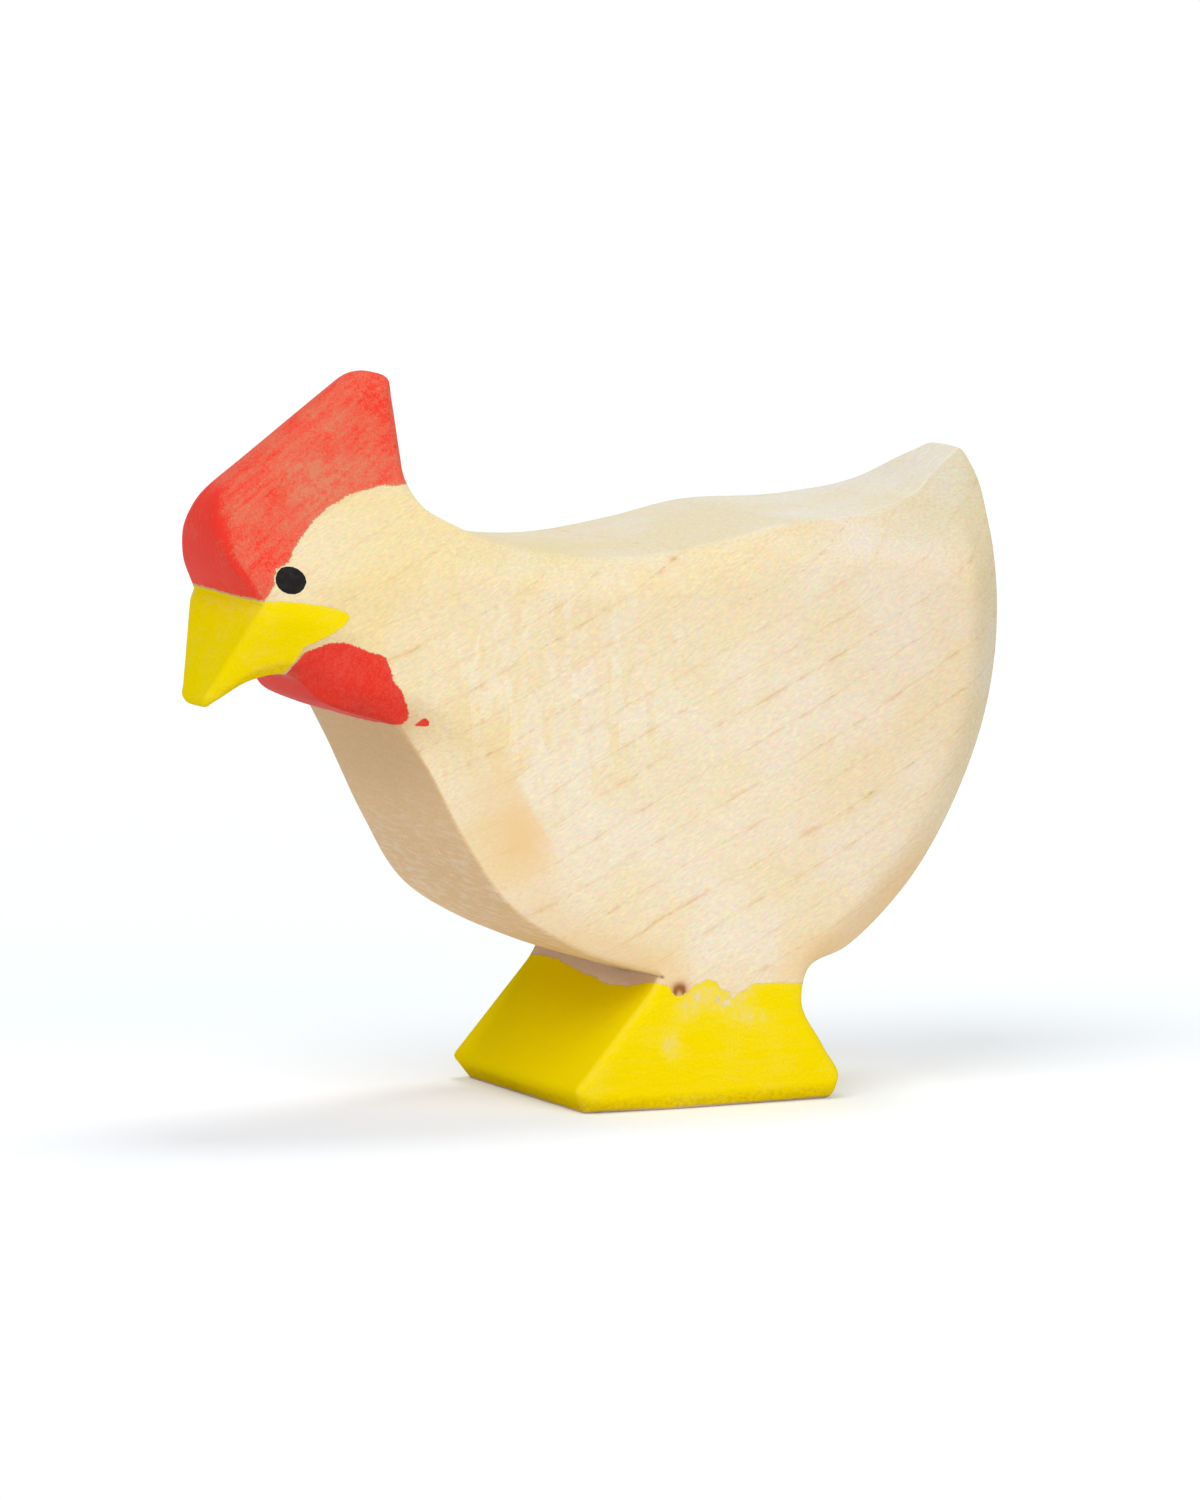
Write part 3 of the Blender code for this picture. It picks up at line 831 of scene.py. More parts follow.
def snap_to_border(rows, triangles, column, first):
    """Slide the points close to a border onto it, so that no sliver is cut there."""
    value = rows[:, column]
    value[np.abs(value) < ON_LINE] = 0.0
    ends = np.vstack([triangles[:, pair] for pair in ((0, 1), (1, 2), (2, 0))])
    ends = ends[value[ends[:, 0]] * value[ends[:, 1]] < 0.0]
    ends = np.vstack((ends, ends[:, ::-1]))
    share = value[ends[:, 0]] / (value[ends[:, 0]] - value[ends[:, 1]])
    free = np.all(np.abs(rows[ends[:, 0], first:column]) > ON_LINE, axis=1)
    near = np.flatnonzero((share < SNAP_SHARE) & free)
    # The nearest cut comes last, so it is the one that stays
    near = near[np.argsort(-share[near])]
    start, finish = ends[near].T
    moved = rows[start] + share[near, None] * (rows[finish] - rows[start])
    moved[:, column] = 0.0
    rows[start] = moved


def split_along(rows, triangles, column):
    """Cut the triangles where a column of the rows is nothing; return new rows and triangles."""
    sign = np.sign(rows[:, column])[triangles]
    crossed = sign * np.roll(sign, -1, axis=1) < 0.0
    number = crossed.sum(axis=1)
    kept = triangles[number == 0]

    # Turn each cut triangle so that its cut edges are first and last, or its one cut edge is
    # opposite its first corner
    lone = triangles[number == 2]
    turn = np.argmin(crossed[number == 2], axis=1)
    lone = lone[np.arange(len(lone))[:, None], (turn[:, None] + (2, 3, 4)) % 3]
    halved = triangles[number == 1]
    turn = np.argmax(crossed[number == 1], axis=1)
    halved = halved[np.arange(len(halved))[:, None], (turn[:, None] + (2, 3, 4)) % 3]

    ends = np.vstack((lone[:, (0, 1)], lone[:, (2, 0)], halved[:, (1, 2)]))
    ends.sort(axis=1)
    pairs, index = np.unique(ends, axis=0, return_inverse=True)
    first, second = rows[pairs[:, 0]], rows[pairs[:, 1]]
    share = first[:, column] / (first[:, column] - second[:, column])
    cut = first + share[:, None] * (second - first)
    cut[:, column] = 0.0
    index = index.ravel() + len(rows)
    after, before, across = np.split(index, (len(lone), 2 * len(lone)))
    a, b, c = lone.T
    d, e, f = halved.T
    pieces = (
        (a, after, before), (after, b, c), (after, c, before), (d, e, across), (d, across, f))
    return np.vstack((rows, cut)), np.vstack([kept] + [np.column_stack(piece) for piece in pieces])


def mark_paint(mesh, depth):
    """Cut a carved mesh along the paint's borders, and return it with each face's paint."""
    count = len(mesh.vertices)
    place = np.empty(count * 3)
    mesh.vertices.foreach_get("co", place)
    arris = np.empty(count)
    mesh.attributes["arris"].data.foreach_get("value", arris)
    corners = np.empty(len(mesh.loops), int)
    mesh.loops.foreach_get("vertex_index", corners)
    triangles = corners.reshape(-1, 3)

    rows = np.column_stack((place.reshape(-1, 3) / MM, arris))
    first = rows.shape[1]
    rows = np.column_stack((rows, paint_fields(rows)))
    for column in range(first, rows.shape[1]):
        if column > first:
            rows[:, column] = np.minimum(rows[:, column], -rows[:, first:column].max(axis=1))
        snap_to_border(rows, triangles, column, first)
        rows, triangles = split_along(rows, triangles, column)
    fields = rows[:, first:]
    over_face = fields[triangles].mean(axis=1)
    paint = np.where(over_face.max(axis=1) > 0.0, over_face.argmax(axis=1) + 1, BARE)
    within = np.maximum(fields.max(axis=1), 0.0)

    marked = bpy.data.meshes.new(SURFACE)
    marked.from_pydata((rows[:, :3] * MM).tolist(), [], triangles.tolist())
    put_attribute(marked, "arris", rows[:, 3])
    put_attribute(marked, "paint_edge", fields.max(axis=1))
    put_attribute(marked, "paint_depth", depth * np.minimum(within / PAINT_RAMP, 1.0))
    put_attribute(marked, "paint", paint, "FACE")
    marked.use_fake_user = True
    return marked


def bedding_tree():
    """Build the tree that sinks the wood by the paint's thickness."""
    tree, recipe, given, result = open_group(
        "Bed the paint", "GeometryNodeTree",
        (("Surface", "Geometry"), ("Wood", "Material")), (("Wood", "Geometry"),))
    normal = recipe.make("GeometryNodeInputNormal")
    sink = recipe.scaled(normal, recipe.stored("paint_depth") * -1.0)
    recipe.finish(recipe.moved(given["Surface"], sink), given["Wood"], result["Wood"])
    return tree


def painting_tree():
    """Build the tree that lays one paint on its faces, as a thin closed coat."""
    tree, recipe, given, result = open_group(
        "Lay the paint", "GeometryNodeTree",
        (("Surface", "Geometry"), ("Paint number", "Float"), ("Build-up", "Float"),
         ("Paint", "Material")),
        (("Coat", "Geometry"),))
    chosen = recipe.math("COMPARE", recipe.stored("paint"), given["Paint number"], 0.5)
    patch = recipe.make(
        "GeometryNodeSeparateGeometry", {"Geometry": given["Surface"], "Selection": chosen},
        domain="FACE")
    normal = recipe.make("GeometryNodeInputNormal")
    depth = recipe.stored("paint_depth")
    top = recipe.moved(patch, recipe.scaled(normal, depth * given["Build-up"]))
    under = recipe.moved(patch, recipe.scaled(normal, depth * -1.0))
    turned = recipe.make("GeometryNodeFlipFaces", {"Mesh": under})
    joined = recipe.add("GeometryNodeJoinGeometry")
    for half in (turned, top):
        recipe.feed(joined.inputs[0], half)
    inputs = {"Geometry": recipe.outputs(joined)["Geometry"], "Distance": 1e-8}
    closed = recipe.make("GeometryNodeMergeByDistance", inputs)
    recipe.finish(closed, given["Paint"], result["Coat"])
    return tree


# Finishes

def growth_rings(recipe, place, axes, up, spacing):
    """Return masks of the rings' thin lines, their soft dashes and their specks."""
    # Nearly straight layers, bowed across the board
    _, y, rise = axes
    drift = recipe.noise(recipe.scaled(place, 0.04), 0.0)
    shake = recipe.grain(axes, (0.25, 0.3, 0.5), 1.0)
    uneven = recipe.noise(recipe.combine(0.0, 0.0, rise * 0.3), 1.0)
    bow = y * 0.05
    height = rise + drift * 3.0 + shake * 0.45 + uneven * 2.2 + bow * bow * 5.0
    turn = height / spacing
    off = abs(recipe.linear(recipe.math("FRACT", turn), 1.0, -0.5)) * spacing

    # Each ring has its own strength, breaks up into dashes and is weaker on top
    strength = recipe.make(
        "ShaderNodeTexWhiteNoise", {"W": recipe.math("FLOOR", turn)}, noise_dimensions="1D")
    dash = recipe.grain(axes, (0.45, 0.8, 0.8))
    broken = recipe.fade(dash, 0.5, 0.66) * recipe.linear(strength, 0.75, 0.25)
    dots = recipe.grain(axes, (1.9, 2.6, 2.6), 1.0)
    kept = recipe.fade(up, 0.6, 0.85, 1.0, 0.35)
    ring = recipe.fade(off, 0.14, 0.02) * recipe.linear(broken, 0.45, 0.25) * kept
    halo = recipe.fade(off, 0.5, 0.05) * broken * kept
    speck = recipe.fade(off, 0.2, 0.04) * recipe.fade(dots, 0.6, 0.72) * strength * kept
    return ring, halo, speck


def side_marks(recipe, wood, axes, arris, on_side):
    """Return the wood with upright pale and yellow bars, and yellow streaks below the back."""
    x, _, z = axes
    inputs = {"Vector": recipe.combine(x * 1.25, 0.0, recipe.linear(z, 0.42, 0.3)), "Scale": 1.0}
    blocks = recipe.make("ShaderNodeTexVoronoi", inputs, "Color", distance="CHEBYCHEV")
    chance = recipe.separate(blocks)[0]
    barred = recipe.capped(recipe.spots(x, z, BARRED_SPOT)) * on_side
    yellow_bars = recipe.fade(chance, 0.6, 0.9) * barred
    pale_bars = recipe.fade(chance, 0.5, 0.2) * barred
    below_back = recipe.fade(arris, 5.0, 1.5) * recipe.fade(z, 34.0, 38.0)
    behind_head = recipe.fade(x, -16.0, -9.0)
    streaks = recipe.fade(recipe.grain(axes, (0.4, 1.0, 5.0)), 0.46, 0.62)
    streaks = streaks * below_back * behind_head * on_side
    wood = recipe.mix(pale_bars * 0.3, wood, srgb(253, 242, 222))
    yellow = recipe.capped(yellow_bars * 0.26 + streaks * 0.28)
    return recipe.mix(yellow, wood, srgb(246, 216, 146))


def cut_fibres(recipe, given, axes):
    """Return the colour of the end grain on the chest: pale flecks low down, darker above."""
    z = axes[2]
    flecks = recipe.grain(axes, (0.5, 0.45, 3.0))
    pale = recipe.fade(flecks, 0.42, 0.7) * recipe.fade(z, 26.0, 20.0, 0.15, 0.5)
    colour = recipe.mix(pale, given["End grain"], given["Pale"])
    darker = recipe.fade(z, 23.0, 31.0, 0.0, 0.8)
    return recipe.mix(darker, colour, (0.77, 0.74, 0.69), "MULTIPLY")


def foot_marks(recipe, wood, axes):
    """Return the wood with a knot beside the foot and a dark line where the foot begins."""
    x, y, z = axes
    rubbed = recipe.spots(x, z, RUBBED_SPOT) * recipe.fade(y, -11.9, -11.4)
    wood = recipe.mix(rubbed, wood, srgb(206, 160, 140))
    wood = recipe.mix(recipe.spots(x, z, KNOT_HALO_SPOT), wood, srgb(218, 150, 74))
    crease = recipe.spots(x, z, CREASE_SPOT) * recipe.fade(y, 11.0, 4.0, 0.2, 1.0)
    dark = recipe.capped(recipe.spots(x, z, KNOT_SPOTS) + crease)
    return recipe.mix(dark * 0.85, wood, srgb(138, 74, 30))


def maple_group():
    """Build the figure of the maple, from its clouds and rings to its stains and its knot."""
    tree, recipe, given, result = open_group(
        "Maple figure", "ShaderNodeTree",
        (("Pale", "Color"), ("Warm", "Color"), ("Ring", "Color"), ("Speck", "Color"),
         ("End grain", "Color"), ("Stain", "Color"), ("Ring spacing", "Float"),
         ("Grain tilt", "Float")),
        (("Color", "Color"), ("Height", "Float")),
    )
    place = recipe.object_place()
    x, y, z = axes = recipe.separate(place)
    cosine = recipe.math("COSINE", given["Grain tilt"])
    sine = recipe.math("SINE", given["Grain tilt"])
    fibres = (x * cosine + z * sine, y, z * cosine - x * sine)
    arris = recipe.attribute("arris")
    normal = recipe.separate(recipe.facing())
    on_side = recipe.fade(abs(normal[1]), 0.3, 0.6)
    end = recipe.fade(normal[0] * cosine + normal[2] * sine, -0.3, -0.85)
    off_end = 1.0 - end

    # Clouds from pale to warm, warmer towards the head
    cloud = recipe.fade(recipe.noise(recipe.scaled(place, 0.12)), 0.35, 0.65)
    tone = cloud * 0.5 + recipe.fade(recipe.linear(x, -1.0, z), 26.0, 66.0, 0.0, 0.7)
    wood = recipe.mix(tone, given["Pale"], given["Warm"])
    wood = side_marks(recipe, wood, axes, arris, on_side)

    spacing = given["Ring spacing"] / MM
    ring, halo, speck = growth_rings(recipe, place, fibres, normal[2], spacing)
    for mask, share, colour in ((halo, 0.3, "Ring"), (ring, 0.55, "Ring"), (speck, 0.3, "Speck")):
        wood = recipe.mix(mask * share, wood, given[colour])
    wood = recipe.mix(end, wood, cut_fibres(recipe, given, axes))

    # A fine mottle in light and in colour
    fine = recipe.grain(fibres, (2.4, 5.5, 6.5), 2.0, 0.6)
    inputs = {"Vector": recipe.stretched(fibres, (1.7, 4.0, 5.5)), "Scale": 1.0}
    mottle = recipe.make("ShaderNodeTexNoise", inputs, "Color")
    mottle = recipe.vector("MULTIPLY_ADD", mottle, (0.3, 0.38, 0.6), (0.85, 0.81, 0.7))
    shade = recipe.scaled(mottle, recipe.linear(fine, 0.22, 0.89))
    wood = recipe.mix(1.0, wood, shade, "MULTIPLY")

    # Greyer towards the tail, painted cooler light on top, and painted shade by the rear edge
    # and, browner, on low faces that look down
    towards_tail = recipe.fade(x, 4.0, 32.0) * on_side
    cool_top_light = recipe.fade(normal[2], 0.4, 0.9)
    rear_edge_shade = recipe.fade(x, 22.0, 32.0) * recipe.fade(arris, 4.5, 2.0) * on_side
    below = recipe.fade(normal[2], -0.02, -0.35) * recipe.fade(z, 24.0, 16.0) * off_end
    for mask, tint in (
        (towards_tail, (0.93, 0.9, 0.9)), (cool_top_light, (0.92, 0.98, 1.07)),
        (rear_edge_shade, (0.9, 0.93, 0.9)), (below, (0.88, 0.8, 0.7)),
    ):
        wood = recipe.mix(mask, wood, tint, "MULTIPLY")

    # Tan stains along the chest's bevel and a band above the foot
    low_bevel = recipe.fade(arris, 3.8, 1.2) * recipe.fade(z, 24.0, 15.0) * on_side * 0.42
    stained = recipe.spots(x, z, STAIN_SPOTS) + low_bevel
    tan = stained * recipe.fade(arris, 6.1, 5.5) * off_end * recipe.fade(cloud, -1.0, 1.0)
    wood = recipe.mix(recipe.capped(tan), wood, given["Stain"])
    wood = foot_marks(recipe, wood, axes)

    recipe.feed(result["Color"], wood)
    recipe.feed(result["Height"], fine * 0.6 + ring * -0.2)
    return tree


def brushed_group():
    """Build the cover of a brushed paint: streaks, thin places, painted highlights and shade, and
    worn arrises.
    """
    tree, recipe, given, result = open_group(
        "Brushed paint", "ShaderNodeTree",
        (("Stroke tilt", "Float"), ("Load", "Float"), ("Front shade", "Float"),
         ("Unevenness", "Float"), ("Thin place and highlight", "Float"), ("Raggedness", "Float"),
         ("Wear", "Float")),
        (("Cover", "Float"), ("Depth", "Float"), ("Soil and shade", "Float"), ("Height", "Float")),
    )
    place = recipe.object_place()
    x, y, z = recipe.separate(place)
    cosine = recipe.math("COSINE", given["Stroke tilt"])
    sine = recipe.math("SINE", given["Stroke tilt"])
    strokes = (x * cosine + z * sine, y, z * cosine - x * sine)
    streak = recipe.grain(strokes, (0.35, 1.8, 2.4), 3.0, 0.55)
    cloud = recipe.noise(recipe.scaled(place, 0.3))
    grit = recipe.noise(recipe.scaled(place, 5.5))
    edge = recipe.attribute("paint_edge")
    normal = recipe.separate(recipe.facing())

    # How thick the paint is: streaked, clouded and gritty, thinner by its border, and deeper
    # on the faces that look forward, as painted shade
    varied = (
        recipe.linear(streak, 1.1, -0.55) + recipe.linear(cloud, 1.0, -0.5)
        + recipe.linear(grit, 1.6, -0.8) + recipe.fade(edge, 0.45, 0.0, 0.0, -0.25))
    dabs = recipe.fade(recipe.noise(recipe.scaled(place, 1.7), 3.0), 0.4, 0.6, 0.35, 1.0)
    # Thin places, and painted highlights where paler paint stands in for light
    thin = given["Thin place and highlight"] * dabs
    depth = recipe.clamped(
        given["Load"] + varied * given["Unevenness"] + thin * -1.0
        + recipe.fade(normal[0], -0.6, -0.85) * given["Front shade"])

    # Where it covers at all: not in the gaps of a ragged border, on worn arrises or worn spots
    ragged = edge + recipe.linear(grit, -1.0, 0.38) * given["Raggedness"]
    rubbed = (
        recipe.fade(recipe.attribute("arris"), 0.45, 0.0) * recipe.fade(grit + cloud, 0.85, 1.2)
        * given["Wear"])
    worn = recipe.fade(thin + recipe.linear(grit, 0.8, -0.4), 0.85, 1.05, 1.0, 0.25)
    cover = recipe.fade(ragged, 0.0, 0.10) * (1.0 - rubbed) * worn

    # Painted shade on the faces that look at the floor, and soil with painted shade low down
    below = recipe.math("MAXIMUM", recipe.fade(z, 1.6, 0.7), recipe.fade(normal[2], -0.55, -0.8))
    patches = recipe.fade(recipe.noise(recipe.scaled(place, 2.6), 3.0), 0.3, 0.7, 0.4, 1.0)
    recipe.feed(result["Cover"], cover)
    recipe.feed(result["Depth"], depth)
    recipe.feed(result["Soil and shade"], below * patches)
    recipe.feed(result["Height"], streak * 0.7 + grit * 0.15)
    return tree


def place_group(recipe, group, values):
    """Put a shared node group in a material, with this material's own values."""
    return recipe.outputs(recipe.add("ShaderNodeGroup", values, node_tree=group))


def shared_group(name, build):
    """Return a shared node group, built once."""
    return bpy.data.node_groups.get(name) or build()


def start_material(name, roughness, gloss):
    """Start a material of one finish; return it, its recipe and its shader."""
    made = bpy.data.materials.new(name)
    made.use_nodes = True
    recipe = Recipe(made.node_tree)
    shader = made.node_tree.nodes["Principled BSDF"]
    shader.inputs["Roughness"].default_value = roughness
    shader.inputs["IOR"].default_value = 1.46
    shader.inputs["Specular IOR Level"].default_value = gloss
    return made, recipe, shader


def maple_outputs(recipe, wood):
    """Put the maple's figure in a material with the settings' colours."""
    return place_group(recipe, shared_group("Maple figure", maple_group), {
        "Pale": wood.pale, "Warm": wood.warm, "Ring": wood.ring, "Speck": wood.speck,
        "End grain": wood.end_grain, "Stain": wood.stain, "Ring spacing": wood.ring_spacing,
        "Grain tilt": wood.grain_tilt,
    })


def bump(recipe, height, distance):
    """Return a normal with a fine relief, its depth in metres."""
    inputs = {"Height": height, "Distance": distance, "Strength": 1.0}
    return recipe.make("ShaderNodeBump", inputs, "Normal")


def maple_material(wood):
    """Make the bare, sanded maple."""
    made, recipe, shader = start_material("sanded_maple", 0.58, 0.2)
    figure = maple_outputs(recipe, wood)
    recipe.feed(shader.inputs["Base Color"], figure["Color"])
    recipe.feed(shader.inputs["Normal"], bump(recipe, figure["Height"], FINE_RELIEF))
    return made


def black_material(black):
    """Make the dabbed black of the eyes."""
    made, recipe, shader = start_material("dabbed_black", 0.5, 0.1)
    uneven = recipe.noise(recipe.scaled(recipe.object_place(), 1.6), 3.0)
    greyer = tuple(2.2 * level for level in black)
    dabbed = recipe.mix(recipe.fade(uneven, 0.4, 0.7), black, greyer)
    recipe.feed(shader.inputs["Base Color"], dabbed)
    recipe.feed(shader.inputs["Normal"], bump(recipe, uneven, DAB_RELIEF))
    return made


def facing_spots(recipe, direction, rows):
    """Return a mask of soft spots on the faces that look one way, or on all of them."""
    x, _, z = recipe.separate(recipe.object_place())
    mask = recipe.spots(x, z, rows)
    if direction is EVERYWHERE:
        return mask
    inputs = {0: recipe.facing(), 1: direction}
    towards = recipe.make("ShaderNodeVectorMath", inputs, "Value", operation="DOT_PRODUCT")
    return mask * recipe.fade(towards, 0.4, 0.8)


def paint_material(scene, name, deep, thin, gloss, brush, direction, spots):
    """Make a brushed paint that lets the maple show where it is thin or worn."""
    made, recipe, shader = start_material(name, 0.5, gloss)
    deep, thin = getattr(scene.hen_paint, deep), getattr(scene.hen_paint, thin)
    figure = maple_outputs(recipe, scene.hen_wood)
    cover = place_group(recipe, shared_group("Brushed paint", brushed_group), {
        "Thin place and highlight": facing_spots(recipe, direction, spots), **brush})
    tinted = recipe.mix(0.35, thin, figure["Color"], "MULTIPLY")
    paint = recipe.mix(cover["Depth"], tinted, deep)
    # Darker where the cover gives soil and painted shade
    paint = recipe.mix(cover["Soil and shade"] * 0.6, paint, (0.66, 0.58, 0.5), "MULTIPLY")
    recipe.feed(shader.inputs["Base Color"], recipe.mix(cover["Cover"], figure["Color"], paint))
    relief = cover["Height"] + figure["Height"] * 0.5 + cover["Cover"]
    recipe.feed(shader.inputs["Normal"], bump(recipe, relief, FINE_RELIEF))
    return made


# Pieces

def sharpen_borders(mesh):
    """Mark the edges where one paint, or the bare wood, meets another as sharp."""
    edge = np.empty(len(mesh.loops), int)
    mesh.loops.foreach_get("edge_index", edge)
    paint = np.empty(len(mesh.polygons))
    mesh.attributes["paint"].data.foreach_get("value", paint)
    paint = np.repeat(paint, 3)
    lowest = np.full(len(mesh.edges), np.inf)
    highest = np.full(len(mesh.edges), -np.inf)
    np.minimum.at(lowest, edge, paint)
    np.maximum.at(highest, edge, paint)
    sharp = np.empty(len(mesh.edges), bool)
    mesh.edges.foreach_get("use_edge_sharp", sharp)
    mesh.edges.foreach_set("use_edge_sharp", sharp | (lowest != highest))


def add_piece(name, mesh, nodes):
    """Add a finished piece that stands for CAD nodes and rides on the figure."""
    mesh.name = name
    mesh.shade_smooth()
    mesh.set_sharp_from_angle(angle=SHARP_ANGLE)
    sharpen_borders(mesh)
    piece = bpy.data.objects.new(name, mesh)
    bpy.context.scene.collection.objects.link(piece)
    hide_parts(*nodes)
    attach(piece, "root")
    return piece


def lay_paint(name, node, number, material, build_up=0.0):
    """Lay one paint on the carved surface as its own piece."""
    surface = bpy.data.meshes[SURFACE]
    tree = shared_group("Lay the paint", painting_tree)
    coat = run_tree(surface, tree, {
        "Paint number": float(number), "Build-up": build_up, "Paint": material})
    if not coat.polygons:
        raise RuntimeError("no faces for " + name)
    return add_piece(name, coat, (node,))


class HEN_OT_carve(bpy.types.Operator):
    """Saw the blank, carve it by rule and bed it for the paint"""
    bl_idname = "hen.carve"
    bl_label = "Carve the Block"

    def execute(self, context):
        block = context.scene.hen_block
        maple = maple_material(context.scene.hen_wood)
        carved = run_tree(saw_blank(block), carving_tree(), {
            "Half board": block.board_half, "Easing power": block.easing_power,
            "Crown": block.crown, "Hand wave": block.hand_wave, "Wave size": block.wave_size,
            "Wood": maple,
        })
        surface = mark_paint(carved, context.scene.hen_paint.depth)
        body = run_tree(surface, bedding_tree(), {"Wood": maple})
        add_piece("carved_hen", body, ("carved_body",))
        return {"FINISHED"}


def brush_coat(scene, name):
    """Brush one of the coats on the carved surface."""
    node, slot, number, finish, deep, thin, gloss, brush, direction, spots = COATS[name]
    paint = paint_material(scene, finish, deep, thin, gloss, brush, direction, spots)
    lay_paint(name, node, number, paint)


class HEN_OT_paint_comb(bpy.types.Operator):
    """Brush the comb and the forehead red"""
    bl_idname = "hen.paint_comb"
    bl_label = "Paint the Comb"

    def execute(self, context):
        brush_coat(context.scene, "comb_paint")
        return {"FINISHED"}


class HEN_OT_paint_wattle(bpy.types.Operator):
    """Brush the wattle red, with the small splash beside it"""
    bl_idname = "hen.paint_wattle"
    bl_label = "Paint the Wattle"

    def execute(self, context):
        brush_coat(context.scene, "wattle_paint")
        return {"FINISHED"}


class HEN_OT_paint_yellow(bpy.types.Operator):
    """Brush the beak and the foot yellow"""
    bl_idname = "hen.paint_yellow"
    bl_label = "Paint the Beak and Foot"

    def execute(self, context):
        for name in ("beak_paint", "foot_paint"):
            brush_coat(context.scene, name)
        return {"FINISHED"}


class HEN_OT_dot_eyes(bpy.types.Operator):
    """Dot an eye on each side of the head"""
    bl_idname = "hen.dot_eyes"
    bl_label = "Dot the Eyes"

    def execute(self, context):
        black = black_material(context.scene.hen_paint.black)
        for side, number in (("left", LEFT_EYE), ("right", RIGHT_EYE)):
            lay_paint(
                side + "_eye_dot", side + "_eye", number, black, EYE_BUILD_UP)
        return {"FINISHED"}


class HEN_OT_set_stage(bpy.types.Operator):
    """Set the floor, the soft light and the camera"""
    bl_idname = "hen.set_stage"
    bl_label = "Set the Stage"

    def execute(self, context):
        stage = context.scene.hen_stage
        add_floor(stage)
        add_sky(stage)
        for name, setting, towards, spread, colour in LAMPS:
            add_lamp(name, towards, spread, getattr(stage, setting), colour)
        add_camera()
        context.scene.view_settings.view_transform = "Standard"
        return {"FINISHED"}


def seen_directly(recipe):
    """Return a mask of the rays that reach the eye straight, off gloss or through glass."""
    path = recipe.outputs(recipe.add("ShaderNodeLightPath"))
    return recipe.capped(
        path["Is Camera Ray"] + path["Is Glossy Ray"] + path["Is Transmission Ray"])


def add_floor(stage):
    """Add a wide white floor that keeps the figure's shadow."""
    mesh = bpy.data.meshes.new("floor")
    corners = [
        (x * FLOOR_HALF, y * FLOOR_HALF, 0.0) for x, y in ((-1, -1), (1, -1), (1, 1), (-1, 1))]
    mesh.from_pydata(corners, [], [(0, 1, 2, 3)])
    made = bpy.data.materials.new("white_ground")
    made.use_nodes = True
    made.node_tree.nodes.clear()
    recipe = Recipe(made.node_tree)
    ground = recipe.make("ShaderNodeBsdfDiffuse", {"Color": stage.ground})
    seen = seen_directly(recipe) * stage.floor_lift
    lift = recipe.make("ShaderNodeEmission", {"Color": LIFT_COLOUR, "Strength": seen})
    both = recipe.make("ShaderNodeAddShader", {0: ground, 1: lift})
    recipe.add("ShaderNodeOutputMaterial", {"Surface": both})
    mesh.materials.append(made)
    floor = bpy.data.objects.new("floor", mesh)
    bpy.context.scene.collection.objects.link(floor)


def add_sky(stage):
    """Light the scene evenly from all round, and show white behind it."""
    world = bpy.data.worlds.new("studio")
    bpy.context.scene.world = world
    world.use_nodes = True
    world.node_tree.nodes.clear()
    recipe = Recipe(world.node_tree)
    seen = seen_directly(recipe)
    strength = recipe.fade(seen, 0.0, 1.0, stage.sky_share, 1.0)
    colour = recipe.mix(seen, SKY_COLOUR, WHITE)
    background = recipe.make("ShaderNodeBackground", {"Color": colour, "Strength": strength})
    recipe.add("ShaderNodeOutputWorld", {"Surface": background})


def add_lamp(name, towards, spread, share, colour):
    """Add a far lamp in a direction, as many degrees wide as its spread."""
    lamp = bpy.data.lights.new(name, "SUN")
    lamp.energy = math.pi * share
    lamp.angle = math.radians(spread)
    lamp.color = colour
    light = bpy.data.objects.new(name, lamp)
    light.rotation_euler = Vector(towards).to_track_quat("Z", "Y").to_euler()
    bpy.context.scene.collection.objects.link(light)


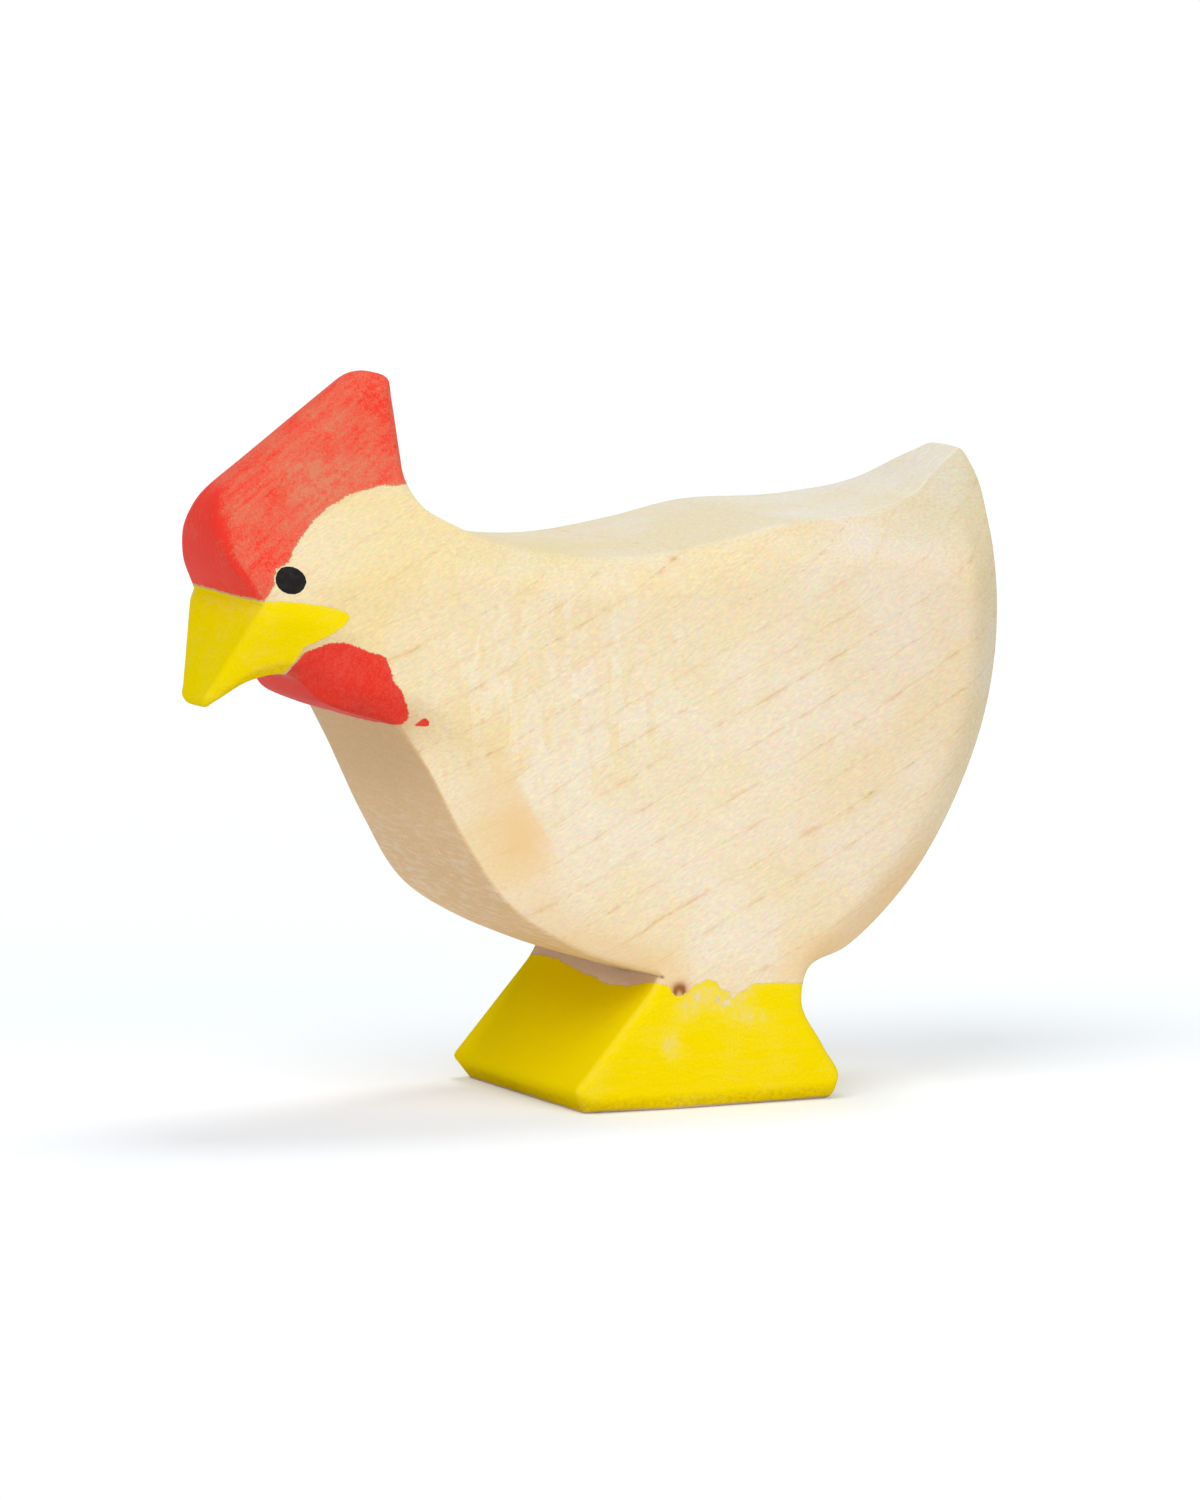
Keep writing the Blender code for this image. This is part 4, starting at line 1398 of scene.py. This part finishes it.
def add_camera():
    """Add the camera that looks at the hen's left side, a little from the front."""
    level = math.cos(CAMERA_ELEVATION)
    back = Vector((
        math.sin(CAMERA_AZIMUTH) * level, -math.cos(CAMERA_AZIMUTH) * level,
        math.sin(CAMERA_ELEVATION)))
    lens = bpy.data.cameras.new("camera")
    lens.lens = CAMERA_LENS
    lens.sensor_width = 36.0
    lens.clip_end = 20.0
    camera = bpy.data.objects.new("camera", lens)
    camera.location = Vector(CAMERA_TARGET) + CAMERA_DISTANCE * back
    camera.rotation_euler = (-back).to_track_quat("-Z", "Y").to_euler()
    bpy.context.scene.collection.objects.link(camera)
    bpy.context.scene.camera = camera


class HEN_PT_panel(bpy.types.Panel):
    """Sizes, colours and steps of the hen"""
    bl_idname = "HEN_PT_panel"
    bl_label = "Carved Hen"
    bl_space_type = "VIEW_3D"
    bl_region_type = "UI"
    bl_category = "Hen"

    def draw(self, context):
        for title, group, steps in PANEL_PARTS:
            box = self.layout.box()
            box.label(text=title)
            settings = getattr(context.scene, group)
            for name in settings.__annotations__:
                box.prop(settings, name)
            for step in steps:
                box.operator(step.bl_idname)


SETTINGS = (
    ("hen_block", HenBlockSettings),
    ("hen_wood", HenWoodSettings),
    ("hen_paint", HenPaintSettings),
    ("hen_stage", HenStageSettings),
)
PAINT_STEPS = (HEN_OT_paint_comb, HEN_OT_paint_wattle, HEN_OT_paint_yellow, HEN_OT_dot_eyes)
STEPS = (HEN_OT_carve, *PAINT_STEPS, HEN_OT_set_stage)
PANEL_PARTS = (
    ("Block", "hen_block", (HEN_OT_carve,)),
    ("Wood", "hen_wood", ()),
    ("Paint", "hen_paint", PAINT_STEPS),
    ("Stage", "hen_stage", (HEN_OT_set_stage,)),
)


def register():
    """Register the settings, the steps and the panel."""
    for name, group in SETTINGS:
        bpy.utils.register_class(group)
        setattr(bpy.types.Scene, name, bpy.props.PointerProperty(type=group))
    for made in (*STEPS, HEN_PT_panel):
        bpy.utils.register_class(made)


def unregister():
    """Take the panel, the steps and the settings away again."""
    for made in (HEN_PT_panel, *reversed(STEPS)):
        bpy.utils.unregister_class(made)
    for name, group in reversed(SETTINGS):
        delattr(bpy.types.Scene, name)
        bpy.utils.unregister_class(group)


def main():
    """Build the hen and its stage."""
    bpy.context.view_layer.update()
    register()
    for step in STEPS:
        group, name = step.bl_idname.split(".")
        getattr(getattr(bpy.ops, group), name)()


if __name__ == "__main__":
    main()
